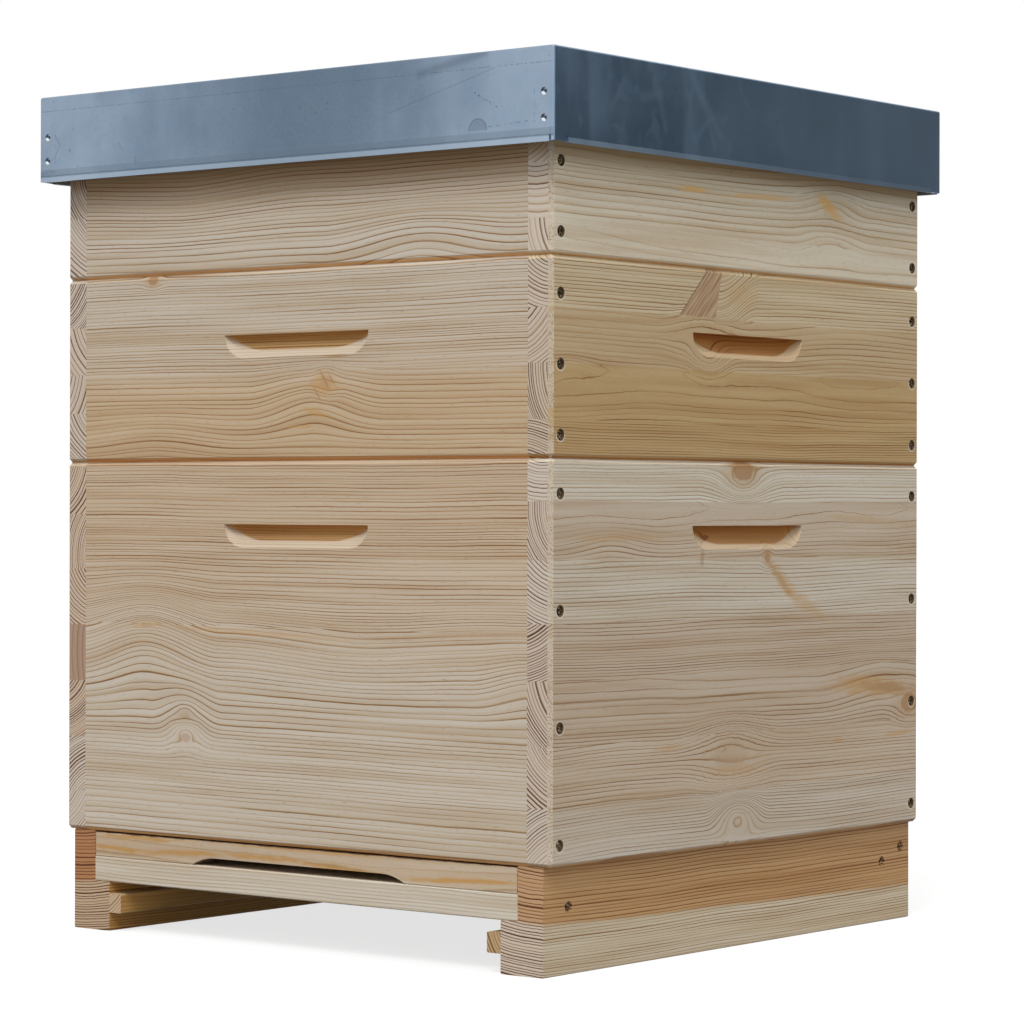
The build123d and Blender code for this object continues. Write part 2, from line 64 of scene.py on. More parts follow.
# %% A number that a material works out at every point
class Field:
    """A number or a vector inside a material, with ordinary arithmetic."""

    def __init__(self, socket):
        self.socket = socket
        self.tree = socket.id_data

    def calculate(self, operation, *others):
        node = self.tree.nodes.new("ShaderNodeMath")
        node.operation = operation
        for entry, value in zip(node.inputs, (self, *others)):
            feed(entry, value)
        return Field(node.outputs[0])

    def __add__(self, other):
        return self.calculate("ADD", other)

    def __sub__(self, other):
        return self.calculate("SUBTRACT", other)

    def __mul__(self, other):
        return self.calculate("MULTIPLY", other)

    def __truediv__(self, other):
        return self.calculate("DIVIDE", other)

    def flipped(self):
        return self.calculate("MULTIPLY_ADD", -1.0, 1.0)

    def size(self):
        return self.calculate("ABSOLUTE")

    def squared(self):
        return self * self

    def root(self):
        return self.calculate("SQRT")

    def fraction(self):
        return self.calculate("FRACT")

    def whole(self):
        return self.calculate("FLOOR")

    def wave(self):
        return self.calculate("COSINE")

    def rise(self, low, high):
        """0 below low, 1 above high, and a smooth slope between."""
        node = self.tree.nodes.new("ShaderNodeMapRange")
        node.interpolation_type = "SMOOTHSTEP"
        feed(node.inputs["Value"], self)
        node.inputs["From Min"].default_value = low
        node.inputs["From Max"].default_value = high
        return Field(node.outputs["Result"])

    def hill(self, width):
        """1 at zero, falling smoothly to 0 at a distance of width."""
        return self.size().rise(0.0, width).flipped()


def feed(entry, value):
    """Links a field to a socket, or writes a plain number or colour into it."""
    if isinstance(value, Field):
        value.tree.links.new(value.socket, entry)
    else:
        entry.default_value = value


print("Arithmetic for materials is ready")

# %% Nodes for places and noise
def vector(tree, x, y, z):
    """Three numbers as one vector."""
    node = tree.nodes.new("ShaderNodeCombineXYZ")
    for entry, value in zip(node.inputs, (x, y, z)):
        feed(entry, value)
    return Field(node.outputs[0])


def parts_of(field):
    """The three numbers of a vector or a colour."""
    node = field.tree.nodes.new("ShaderNodeSeparateXYZ")
    feed(node.inputs[0], field)
    return [Field(output) for output in node.outputs]


def noise(place, detail=2.0, roughness=0.5):
    """Smooth noise around 0.5 with hills about one unit wide, as a number and as a colour."""
    node = place.tree.nodes.new("ShaderNodeTexNoise")
    feed(node.inputs["Vector"], place)
    node.inputs["Scale"].default_value = 1.0
    node.inputs["Detail"].default_value = detail
    node.inputs["Roughness"].default_value = roughness
    return Field(node.outputs["Fac"]), Field(node.outputs["Color"])


def spread(place, reach, shift=0.0):
    """A place counted in units of a reach, for noise with hills of that size."""
    node = place.tree.nodes.new("ShaderNodeVectorMath")
    node.operation = "MULTIPLY_ADD"
    feed(node.inputs[0], place)
    node.inputs[1].default_value = (1.0 / reach,) * 3
    node.inputs[2].default_value = (shift,) * 3
    return Field(node.outputs[0])


print("Places and noise are ready")

# %% Nodes for colours
def ramp(field, stops, stepped=False):
    """A colour ramp, as a colour and its alpha. With hard steps it is a look-up table."""
    node = field.tree.nodes.new("ShaderNodeValToRGB")
    feed(node.inputs["Fac"], field)
    scale = node.color_ramp
    scale.interpolation = "CONSTANT" if stepped else "LINEAR"
    while len(scale.elements) < len(stops):
        scale.elements.new(1.0)
    for element, (position, color) in zip(scale.elements, stops):
        element.position = position
        element.color = (*color, 1.0) if len(color) == 3 else color
    return Field(node.outputs["Color"]), Field(node.outputs["Alpha"])


def mixed(factor, first, second, how="MIX"):
    """Two colours mixed by a factor."""
    node = factor.tree.nodes.new("ShaderNodeMix")
    node.data_type = "RGBA"
    node.blend_type = how
    feed(node.inputs["Factor"], factor)
    for entry, value in ((node.inputs[6], first), (node.inputs[7], second)):
        feed(entry, (*value, 1.0) if isinstance(value, tuple) else value)
    return Field(node.outputs[2])


print("Colours are ready")

# %% A new finish, its relief, and how it gets on a piece
def new_finish(name):
    """A new material, its shader, the place on the piece in millimetres and the way a face looks."""
    material = bpy.data.materials.new(name)
    material.use_nodes = True
    tree = material.node_tree
    shader = tree.nodes["Principled BSDF"]
    coordinates = tree.nodes.new("ShaderNodeTexCoord")
    scaled = tree.nodes.new("ShaderNodeVectorMath")
    scaled.operation = "SCALE"
    scaled.inputs["Scale"].default_value = 1000.0
    tree.links.new(coordinates.outputs["Object"], scaled.inputs[0])
    facing = Field(coordinates.outputs["Normal"])
    return material, shader, Field(scaled.outputs[0]), facing


def add_bump(shader, height, strength, depth):
    """Gives a shader the fine relief of a height field, depth in millimetres."""
    tree = height.tree
    node = tree.nodes.new("ShaderNodeBump")
    node.inputs["Strength"].default_value = strength
    node.inputs["Distance"].default_value = depth / 1000.0
    feed(node.inputs["Height"], height)
    tree.links.new(node.outputs["Normal"], shader.inputs["Normal"])


def dress(names, material):
    """Puts a finish on CAD pieces."""
    for name in names:
        for slot in NODES[name].material_slots:
            slot.material = material


print("Finishes can be made for", len(NODES), "pieces")

# %% [markdown]
# ## Pine, ring by ring
# Each board is glued from staves about 45 mm wide, and each stave comes from another place in the log.
# A stave is described by where the heart of its tree lies, how wide its rings are and its tone. The
# ring number is the distance from that heart divided by the ring width, so the face of a board, its
# planed edge and its end grain all show the same rings, as in real wood. The table of staves sits in a
# colour ramp with hard steps, which works as a list that a material can look up by height.

# %% Tones of the wood, and the look-up table of staves
TONES = {
    "chalk": (0.645, 0.600, 0.520),
    "white": (0.610, 0.558, 0.480),
    "pale": (0.570, 0.510, 0.435),
    "cream": (0.560, 0.475, 0.382),
    "warm": (0.555, 0.455, 0.350),
    "amber": (0.550, 0.438, 0.315),
    "straw": (0.545, 0.432, 0.290),
    "butter": (0.600, 0.510, 0.372),
    "ivory": (0.630, 0.555, 0.440),
    "linen": (0.675, 0.602, 0.488),
    "honey": (0.510, 0.380, 0.215),
    "tan": (0.540, 0.455, 0.365),
    "heart": (0.380, 0.262, 0.185),
    "red": (0.535, 0.360, 0.196),
    "rust": (0.445, 0.238, 0.098),
}
HEART_REACH = 260.0
WIDEST_RING = 12.0


def stave_tables(height, staves, low, high, shades=()):
    """Looks up the heart's place, the ring width, a number and the tone of the stave at a height."""
    share = (height - low) / (high - low)
    places, tones = [], []
    for number, (foot, across, up, ring, tone) in enumerate(sorted(staves)):
        position = max(0.0, (foot - low) / (high - low))
        place = (
            0.5 + across / (2 * HEART_REACH),
            0.5 + (foot + up - low) / (4 * HEART_REACH),
            ring / WIDEST_RING,
            (number + 1) / (len(staves) + 1),
        )
        places.append((position, place))
        tones.append((position, TONES[tone]))
    place, number = ramp(share, places, stepped=True)
    faded = [((level - low) / (high - low), TONES[tone]) for level, tone in shades]
    tone, _ = ramp(share, faded or tones, stepped=not faded)
    across, up, ring = parts_of(place)
    heart_across = (across - 0.5) * (2 * HEART_REACH)
    heart_up = (up - 0.5) * (4 * HEART_REACH) + low
    return heart_across, heart_up, ring * WIDEST_RING, number, tone


print("Tones of pine:", ", ".join(TONES))

# %% [markdown]
# Where a branch left the trunk, the rings flow around it. Moving the height at which the rings are
# read towards the knot's middle pushes the drawn lines outwards, so they part above and below the
# knot. The knot itself gets small rings of its own and a darker, orange tone. A branch that the saw
# cut along its length shows as a spike instead: a wedge with a dark edge and a grain of its own, past
# which the rings climb steeply.

# %% Knots
KNOT_HALO = (0.44, 0.25, 0.10)
KNOT_WOOD = (0.42, 0.23, 0.10)
KNOT_RING = (0.22, 0.10, 0.042)
KNOT_REACH = 3.2
KNOT_PUSH = 0.85


def bend_round_knots(along, height, knots):
    """Moves the reading height near each knot, and returns how far each point is from the knots."""
    rough, _ = noise(vector(along.tree, along / 5.0, height / 5.0, 0.0), 1.0)
    bent = height
    distances = []
    for knot_along, knot_up, half_length, half_height, darkness in knots:
        across = (along - knot_along) / half_length
        above = (height - knot_up) / half_height
        distance = (across.squared() + above.squared()).root() + (rough - 0.5) * 0.35
        bent = bent - distance.hill(KNOT_REACH) * above * (KNOT_PUSH * half_height)
        distances.append((distance, darkness))
    return bent, distances


def bend_over_swells(bent, along, height, swells):
    """Lifts the lines over a swelling of the trunk, or lets them sag where the lift is negative."""
    for swell_along, swell_up, half_length, half_height, lift in swells:
        beside = ((along - swell_along) / half_length).hill(1.0)
        bent = bent - beside * ((height - swell_up) / half_height).hill(1.0) * lift
    return bent


def paint_knots(color, distances):
    """Colours the knots over the wood."""
    for distance, darkness in distances:
        halo = distance.rise(0.7, 2.4).flipped() * (0.45 * darkness)
        color = mixed(halo, color, KNOT_HALO)
        ring = (distance * 4.0).fraction().rise(0.55, 0.95) * 0.5
        core = mixed(ring, KNOT_WOOD, KNOT_RING)
        color = mixed(distance.rise(0.80, 1.0).flipped() * darkness, color, core)
    return color


print("Lines part round a knot up to", KNOT_REACH, "times its own reach")

# %% Spikes
SPIKE_PALE = (0.54, 0.385, 0.235)
SPIKE_DARK = (0.37, 0.22, 0.115)
SPIKE_RIM = (0.16, 0.085, 0.05)
SPIKE_CLIMB = 24.0
SPIKE_REACH = 55.0


def spike_edges(along, height, spike):
    """How far a point lies inside the left and right edges of a spike, in millimetres."""
    foot, top, left_foot, left_top, right_foot, right_top = spike
    up = (height - foot) / (top - foot)
    left = along - left_foot - up * (left_top - left_foot)
    right = up * (right_top - right_foot) + right_foot - along
    return left, right


def bend_past_spike(bent, along, height, spike):
    """Lets the lines climb away from the right edge of a spike."""
    _, right = spike_edges(along, height, spike)
    past = right * -1.0
    beside = past.rise(0.0, SPIKE_REACH).flipped() * past.rise(-1.0, 0.0)
    return bent + beside * height.rise(spike[0] - 6.0, spike[0]) * SPIKE_CLIMB


def paint_spike(color, along, height, spike):
    """Colours the wedge of a spike, its streaks and its dark left edge."""
    left, right = spike_edges(along, height, spike)
    ragged, _ = noise(vector(along.tree, along / 3.0, height / 3.0, 3.0), 2.0)
    rough = (ragged - 0.5) * 4.0
    above = (height + rough * 0.5 - spike[0]).rise(-0.5, 0.5)
    inside = (left + rough).rise(-0.5, 0.5) * right.rise(-0.5, 0.5) * above
    grain, _ = noise(vector(along.tree, left / 1.8, height / 30.0, 11.0), 2.0)
    color = mixed(inside, color, mixed(grain.rise(0.4, 0.6), SPIKE_PALE, SPIKE_DARK))
    rim = (left + rough).hill(1.8) * above * right.rise(-0.5, 0.5)
    return mixed(rim * 0.75, color, SPIKE_RIM)


print("Lines climb past a spike by", SPIKE_CLIMB, "mm")

# %% Stains
RESIN = {
    "brown": (0.36, 0.215, 0.105),
    "orange": (0.54, 0.295, 0.085),
    "bright": (0.78, 0.47, 0.16),
    # painted shadow of the gap between the entrance bar and the brood box
    "painted_gap_shadow": (0.085, 0.043, 0.022),
}


def paint_stains(color, along, height, stains):
    """Long patches of resin, each lying at a slope of its own."""
    rough, _ = noise(vector(along.tree, along / 16.0, height / 3.0, 7.0), 3.0)
    for stain_along, stain_up, half_length, half_height, slope, darkness, hue in stains:
        across = (along - stain_along) / half_length
        above = (height - stain_up - (along - stain_along) * slope) / half_height
        distance = (across.squared() + above.squared()).root() + (rough - 0.5) * 1.3
        color = mixed(distance.rise(0.25, 1.05).flipped() * darkness, color, RESIN[hue])
    return color


print("Stains are", ", ".join(RESIN))

# %% [markdown]
# Two slow waves move the tree's heart along the board, because no trunk is straight, and smaller ones
# make each line a little uneven. A ring starts pale in spring and ends in a thin brown line in autumn.
# That line is about a millimetre thick in the log, and a board that was cut nearly along the rings
# stretches the pale part between the lines far more than the lines, so the share of the year that is
# dark shrinks there. Short dark dashes are resin canals.

# %% The rings of a board
LINE = 0.80
SWAY_ACROSS = 12.0
SWAY_UP = 10.0
RIPPLE = 2.2
TAPER = 0.024
UNEVEN_YEARS = 1.2
WIDE_YEARS = 8.0


def pine_rings(along, across, height, end, tables):
    """How dark the autumn lines and the wood before them are, and how far it is to the tree's heart."""
    tree = along.tree
    heart_across, heart_up, ring, number, _ = tables
    _, sway_color = noise(vector(tree, along / 300.0, number * 83.0, 0.0), 1.0)
    sway_across, sway_up, _ = parts_of(sway_color)
    ripple, _ = noise(vector(tree, along / 90.0, across / 25.0, height / 25.0 + number * 57.0), 4.0, 0.6)
    sideways = across - heart_across - (sway_across - 0.5) * SWAY_ACROSS
    upwards = height - heart_up - (sway_up - 0.5) * SWAY_UP
    radius = (sideways.squared() + upwards.squared()).root() + (ripple - 0.5) * RIPPLE
    years = (radius + along * ((number - 0.5) * TAPER)) / ring
    uneven, _ = noise(vector(tree, years * 0.7, number * 29.0, 0.0), 1.0)
    climate, _ = noise(vector(tree, years * 0.055, number * 37.0, 0.0), 0.0)
    years = years + (uneven - 0.5) * UNEVEN_YEARS + (climate - 0.5) * WIDE_YEARS
    season = years.fraction()
    squarely = (upwards.size() / radius + end).calculate("MINIMUM", 1.0)
    share = (squarely * LINE + end * 0.30 + 0.06) / ring
    line = ((season - 1.0) / share + 1.0).rise(0.0, 0.75) * season.rise(0.97, 1.0).flipped()
    strength, _ = noise(vector(tree, years.whole() * 0.37, number * 11.0, along / 160.0), 1.0)
    return line * (strength.rise(0.32, 0.68) * 0.8 + 0.2), season.rise(0.25, 1.0) * squarely, radius


def wood_fibre(along, across, height):
    """Fine streaks along the grain, the dashes of resin canals, and wide bands of paler or darker years."""
    tree = along.tree
    streak, _ = noise(vector(tree, along / 22.0, across * 1.1, height * 1.1), 3.0, 0.65)
    dash, _ = noise(vector(tree, along / 7.0, across * 1.7, height * 1.7 + 40.0), 0.0)
    band, _ = noise(vector(tree, along / 280.0, across / 14.0, height / 8.0 + 90.0), 3.0, 0.6)
    return streak, dash.rise(0.72, 0.80), band


print("Growth rings are ready, with lines", LINE, "mm thick")

# %% [markdown]
# The boxes also show how they were worked, and some of their light and shade is painted into the wood.
# The hand holds were milled through the skin of the boards. Their pocket is painted orange-brown as shade
# and their lip pale as a painted highlight. The chamfer at the foot of each box is painted with the shade
# of the joint, and the wood under the eaves of the roof with the shade of the roof. The screw holes are
# painted with shade inside and a highlight on their lower rim, and sawing across the grain tore the
# fibres along the corner of the side boards.

# %% Milled hand holds, on boards along X and along Y
BOARD_HALF = 11.0
HOLD_DROP = 50.0
HOLD_ENDS = (78.0, 80.0)
HOLD_MIDDLE = 9.0
HOLD_REACH = 14.0
POCKET_HALF_FLAT = 35.0
POCKET_END = 40.0
POCKET = {"x": 12.5, "y": 14.6}
# painted shade for the pocket of a hand hold, lighter at its top where the real shade is deepest, and a
# painted highlight for its lip
POCKET_SHADE_TOP = {"x": (1.30, 0.96, 0.49), "y": (1.0, 0.61, 0.25)}
POCKET_SHADE_FOOT = {"x": (0.66, 0.48, 0.255), "y": (0.60, 0.37, 0.165)}
LIP_PAINTED_HIGHLIGHT = {"x": (0.60, 0.495, 0.375), "y": (0.56, 0.405, 0.245)}


def mill_hold(color, along, depth, height, hold_top, lengthwise):
    """Painted shade in the pocket below the straight top edge of a hand hold, and a painted highlight on the
    pale lip round it.
    """
    down = height * -1.0 + hold_top
    beside = ((along.size() - POCKET_HALF_FLAT).calculate("MAXIMUM", 0.0) / POCKET_END).squared()
    milled = depth.rise(0.1, 0.5) * along.size().rise(*HOLD_ENDS).flipped()
    milled = milled * (down - HOLD_MIDDLE).hill(HOLD_REACH).rise(0.0, 0.2)
    pocket = (down / POCKET[lengthwise] + beside).rise(0.93, 1.07).flipped()
    # painted highlight on the lip, then painted shade in the pocket
    color = mixed(milled * pocket.flipped() * 0.65, color, LIP_PAINTED_HIGHLIGHT[lengthwise])
    brown = mixed(down.rise(1.0, POCKET[lengthwise]), POCKET_SHADE_TOP[lengthwise], POCKET_SHADE_FOOT[lengthwise])
    return mixed(milled * pocket, color, brown, "MULTIPLY")


print("Hand holds lie", HOLD_DROP, "mm below the top of a box")

# %% Painted shade at the joints, under the eaves and in the screw holes, and torn corners
# painted shade: the chamfer at the foot of each box is tinted orange-brown as the shade of the joint
JOINT_PAINTED_SHADE = {"x": (1.28, 0.79, 0.38), "y": (0.88, 0.58, 0.31)}
JOINT = {"x": (1.4, 3.2), "y": (0.8, 2.6)}
# painted shade: the wood just under the eaves of the roof is tinted brown, up to where the roof hides it
EAVES_PAINTED_SHADE = (0.72, 0.58, 0.42)
EAVES_SHADE_HEIGHTS = {"x": (582.0, 608.0), "y": (597.0, 611.0)}
HIDDEN_FROM = 620.0
CORNER_FROM = 248.8
TORN_PALE = (0.66, 0.57, 0.45)
TORN_DARK = (0.26, 0.165, 0.09)
SCREWS_FROM_MIDDLE = 241.0
HOLE_RADIUS = 4.35
# painted highlight on the lower rim of each screw hole, and painted shade inside it
HOLE_RIM_HIGHLIGHT = (0.86, 0.77, 0.62)
HOLE_PAINTED_SHADE = (0.15, 0.105, 0.065)


def shade_and_fray_box(color, along, depth, height, foot, lengthwise):
    """Painted shade on the chamfer at the foot and on the wood under the eaves, and torn corners."""
    tree = along.tree
    joint_shade = (height - foot).rise(*JOINT[lengthwise]).flipped()
    color = mixed(joint_shade, color, JOINT_PAINTED_SHADE[lengthwise], "MULTIPLY")
    shaded = height.rise(*EAVES_SHADE_HEIGHTS[lengthwise]) * (height - HIDDEN_FROM).rise(0.0, 20.0).flipped()
    color = mixed(shaded, color, EAVES_PAINTED_SHADE, "MULTIPLY")
    curl, _ = noise(vector(tree, depth * 0.9, height / 1.5, 2.0), 1.0)
    patchy, _ = noise(vector(tree, 0.0, height / 30.0, 5.0), 2.0)
    torn = mixed((curl - 0.5).hill(0.06), TORN_PALE, TORN_DARK)
    corner = (along.size() - CORNER_FROM).rise(0.0, 0.5)
    frayed = (depth + (curl - 0.5) * 2.0).rise(3.0, 3.8).flipped() * corner * patchy.rise(0.36, 0.5)
    return mixed(frayed * 0.8, color, torn)


def paint_hole_shade(color, along, height, first, pitch):
    """A painted highlight on the lower rims and painted shade in the screw holes, in even rows near both ends
    of a side board.
    """
    across = along.size() - SCREWS_FROM_MIDDLE
    row = ((height - first) / pitch + 0.5).fraction() - 0.5
    distance = (across.squared() + (row * pitch).squared()).root()
    rim = (distance - HOLE_RADIUS - 0.6).hill(0.9) * (row * pitch).rise(-2.0, 3.0).flipped()
    color = mixed(rim * 0.75, color, HOLE_RIM_HIGHLIGHT)
    return mixed(distance.rise(HOLE_RADIUS, HOLE_RADIUS + 0.3).flipped(), color, HOLE_PAINTED_SHADE)


# the painted shade under the eaves starts at this height
print("Wood browned under the eaves from", EAVES_SHADE_HEIGHTS["x"][0], "mm up")

# %% [markdown]
# The finish brings these together. End grain is cut square through the tubes of the wood, so its lines
# are darker and its pale wood a little pink, and the sawn ends are rougher than the planed faces. The
# rings also make a faint relief, because the planer presses the soft spring wood down.

# %% The pine finish
EARLY_SHADE = (0.90, 0.83, 0.72)
DARK_YEARS = (0.90, 0.835, 0.76)
PALE_YEARS = (1.07, 1.10, 1.15)
LATE_WOOD = (0.50, 0.335, 0.14)
END_LINE = (0.40, 0.32, 0.30)
END_GRAIN = (1.06, 1.05, 1.11)
RESIN_CANAL = (0.30, 0.20, 0.13)


def pine(name, lengthwise, middle, staves, top, knots=(), swells=(), stains=(), spike=None, box_foot=None,
         outward=0, screws=None, shades=(), heart_edge=None, sapwood="pale", end_pale=0.6, end_tint=END_GRAIN,
         faint=0.0, inside=None):
    """A pine finish for a board that runs along X or Y, with its staves listed by their feet."""
    material, shader, place, facing = new_finish(name)
    x, y, height = parts_of(place)
    face_x, face_y, _ = parts_of(facing)
    along, across = (x, y - middle) if lengthwise == "x" else (y, x - middle)
    end = (face_x if lengthwise == "x" else face_y).size().rise(0.75, 0.95)
    bent, distances = bend_round_knots(along, height, knots)
    bent = bend_over_swells(bent, along, height, swells)
    if spike:
        bent = bend_past_spike(bent, along, height, spike)
    tables = stave_tables(height, staves, min(stave[0] for stave in staves), top, shades)
    line, autumn, radius = pine_rings(along, across, bent, end, tables)
    tone = tables[-1]
    if heart_edge:
        tone = mixed((radius + along * -0.02 - heart_edge).rise(-2.0, 2.0), tone, TONES[sapwood])
    tone = mixed(end * end_pale, tone, TONES["pale"])
    streak, dash, band = wood_fibre(along, across, bent)
    color = mixed(autumn * 0.8, tone, EARLY_SHADE, "MULTIPLY")
    color = mixed(line * (1.0 - faint), color, LATE_WOOD, "MULTIPLY")
    color = mixed((streak - 0.5) * 0.9 + 0.5, color, color, "SOFT_LIGHT")
    face = end.flipped() * 0.85
    color = mixed(band.rise(0.49, 0.66) * face, color, DARK_YEARS, "MULTIPLY")
    color = mixed(band.rise(0.34, 0.51).flipped() * face, color, PALE_YEARS, "MULTIPLY")
    color = mixed(dash * end.flipped() * 0.35, color, RESIN_CANAL)
    color = paint_knots(paint_stains(color, along, height, stains), distances)
    if spike:
        color = paint_spike(color, along, height, spike)
    color = mixed(end, color, end_tint, "MULTIPLY")
    color = mixed((end * line * 1.5 * (1.0 - faint)).calculate("MINIMUM", 1.0), color, END_LINE, "MULTIPLY")
    if box_foot:
        depth = across * -outward + BOARD_HALF
        color = mill_hold(color, along, depth, height, top - HOLD_DROP, lengthwise)
        color = shade_and_fray_box(color, along, depth, height, box_foot, lengthwise)
    if screws:
        color = paint_hole_shade(color, along, height, *screws)
    # painted shade on the faces that turn inward
    if inside:
        color = mixed((face_x * -outward).rise(0.5, 0.9), color, inside, "MULTIPLY")
    feed(shader.inputs["Base Color"], color)
    feed(shader.inputs["Roughness"], line * -0.10 + streak * 0.12 + end * 0.12 + 0.56)
    shader.inputs["Specular IOR Level"].default_value = 0.28
    add_bump(shader, line * 0.6 + streak * 0.8 - dash * 0.4, 0.28, 0.25)
    return material


print("The pine finish is ready")

# %% [markdown]
# ## The boards of the three boxes
# The staves and knots of the front and the right side follow what can be seen on the hive. Two boards
# on the left show their sawn ends at the corner, so their staves are listed too. The other boards get
# staves of the same kind from a seeded list, so that every run gives the same wood.

# %% Staves that can be seen: foot, heart across and up from it, ring width, tone
BOX_LEVELS = {"brood": (81.0, 381.0), "super": (381.0, 530.0), "cover": (530.0, 679.0)}
SCREW_ROWS = {"brood": (97.0, 86.0), "super": (398.0, 52.0), "cover": (547.0, 52.0)}
BOARD_MIDDLE = 241.0

SEEN_STAVES = {
    "brood_front": [(250, 60, 301, 2.4, "pale"), (81, 60, 470, 3.7, "pale")],
    "brood_right": [
        (349, 5, 60, 3.2, "chalk"), (305.6, 45, 40, 2.4, "cream"), (258.8, 30, 80, 3.0, "white"),
        (216.4, -30, 85, 2.2, "tan"), (168.8, 50, 60, 2.4, "tan"), (124, 40, 72, 2.6, "cream"),
        (81, 40, -40, 2.6, "pale"),
    ],
    "brood_left": [
        (338.8, -40, 50, 2.6, "warm"), (293.7, 55, 10, 2.6, "warm"), (248.5, 35, 60, 3.0, "warm"),
        (202.6, 120, 24, 7.0, "heart"), (157, -30, 70, 2.0, "warm"), (112, 35, -30, 2.2, "pale"),
        (81, -40, 55, 2.6, "pale"),
    ],
    "super_front": [(450, -50, 261, 2.4, "cream"), (381, -50, 330, 3.8, "cream")],
    "super_right": [
        (491.5, 15, 62, 3.0, "butter"), (450.7, -45, 75, 3.0, "straw"), (409.3, 55, 38, 2.2, "honey"),
        (381, -20, -50, 2.2, "honey"),
    ],
    "super_left": [
        (490, -45, 60, 2.0, "pale"), (452, 50, 55, 3.6, "warm"), (420, -50, 40, 4.6, "tan"),
        (381, 40, 60, 2.6, "pale"),
    ],
    "cover_front": [(530, 40, 380, 3.1, "cream")],
    "cover_right": [
        (640, -20, 90, 3.4, "pale"), (597, -25, 45, 3.4, "linen"), (556.7, 0, 85, 4.2, "linen"),
        (530, 48, 28, 3.4, "linen"),
    ],
}
# the fronts are wide boards whose tone changes slowly with the height
FRONT_SHADES = {
    "brood_front": [(81, "pale"), (200, "pale"), (262, "cream"), (345, "warm")],
    "super_front": [(381, "amber"), (438, "amber"), (452, "cream"), (505, "pale")],
    "cover_front": [(530, "pale"), (560, "pale"), (598, "cream")],
}
print("Boards with listed staves:", len(SEEN_STAVES))

# %% Knots that can be seen: along the board, height, half length, half height, darkness
SEEN_KNOTS = {
    "brood_front": [
        (-117, 179, 6, 4, 0.15), (-117, 161, 6, 4, 0.40), (-160, 250, 7, 2, 0.2),
    ],
    "brood_right": [
        (-7, 374, 15, 9, 0.8), (-24, 152, 26, 13, 0.15), (238, 182, 14, 9, 0.75), (27, 306, 4, 5, 0.6),
        (-12, 96, 16, 10, 0.1),
    ],
    "super_front": [(33, 441, 7, 6, 0.15), (-154, 526, 6, 4, 0.75)],
    "super_right": [(-62, 474, 22, 10, 0.0)],
    "cover_right": [(122, 586, 20, 8, 0.1)],
}
print("Knots listed:", sum(len(knots) for knots in SEEN_KNOTS.values()))

# %% Swells, which have a lift instead of a darkness
SEEN_SWELLS = {
    "brood_front": [
        (-160, 236, 80, 78, 17), (-116, 184, 40, 38, 10), (-116, 162, 30, 26, 6), (236, 214, 60, 44, 10),
        (60, 230, 130, 60, -7),
    ],
    "brood_right": [
        (-8, 360, 62, 30, -9), (-14, 104, 44, 34, 11), (-180, 320, 70, 24, 6), (190, 200, 90, 40, 8),
    ],
    "super_front": [(20, 426, 72, 42, 13), (-150, 400, 90, 36, 6)],
    "super_right": [(-52, 458, 36, 28, -11), (-228, 444, 40, 22, 6)],
    "cover_front": [(125, 548, 100, 36, 12), (-120, 590, 140, 50, -5)],
    "cover_right": [(118, 572, 60, 40, 9)],
}
print("Swells listed:", sum(len(swells) for swells in SEEN_SWELLS.values()))

# %% Stains, which also have a slope and a hue
SEEN_STAINS = {
    "brood_right": [
        (44, 289, 24, 6, -0.8, 0.5, "brown"), (50, 286, 30, 11, -0.7, 0.45, "orange"),
        (82, 268, 32, 9, -0.4, 0.38, "orange"),
        (180, 198, 78, 11, -0.07, 0.65, "orange"), (-62, 306, 4, 9, 0.0, 0.55, "brown"),
        (-107, 161, 24, 3, 0.05, 0.4, "orange"), (222, 157, 30, 3, 0.05, 0.5, "orange"),
        (-170, 322, 70, 4, 0.02, 0.3, "orange"), (165, 336, 80, 4, -0.05, 0.3, "orange"),
        (-20, 140, 50, 6, 0.0, 0.3, "orange"), (205, 196, 50, 6, -0.07, 0.55, "brown"),
        (128, 155.5, 12, 2.2, 0.0, 0.6, "orange"),
    ],
    "super_right": [(-12, 512, 32, 14, -0.2, 0.22, "orange")],
    "super_front": [
        (30, 440, 18, 12, 0.0, 0.5, "orange"), (31, 442, 6, 2.6, -1.5, 0.75, "brown"),
        (38, 443, 5, 2.2, -1.2, 0.7, "brown"), (23, 432, 5, 2.0, -1.3, 0.55, "brown"),
        (20, 418, 22, 3.5, -0.25, 0.5, "orange"),
        (4, 407, 18, 1.8, 0.0, 0.45, "orange"), (43, 461, 18, 2.2, 0.03, 0.75, "brown"),
    ],
    "brood_front": [(-160, 250, 26, 3, 0.05, 0.35, "orange"), (-40, 246, 130, 3, -0.03, 0.3, "orange")],
    "cover_right": [
        (-76, 590, 26, 3.4, 0.0, 0.8, "bright"), (15, 590.5, 76, 2.8, 0.04, 0.6, "bright"),
        (114, 590, 22, 9, -0.45, 0.85, "bright"),
    ],
}
print("Stains listed:", sum(len(stains) for stains in SEEN_STAINS.values()))

# %% One spike, and the boards that differ a little
# the spike's foot and top, then its left edge at both, then its right edge
SEEN_SPIKES = {"super_right": (492.5, 530.0, -92.0, -54.0, -45.0, -36.0)}
# how far the ends of a board fade to pale, where it differs from the rest
END_PALES = {"brood_left": 0.2, "super_right": 0.75}
# how far the lines of a board fade, where they do
FAINT_LINES = {"cover_right": 0.3, "super_front": 0.12}
print("Boards with fainter lines:", ", ".join(FAINT_LINES))

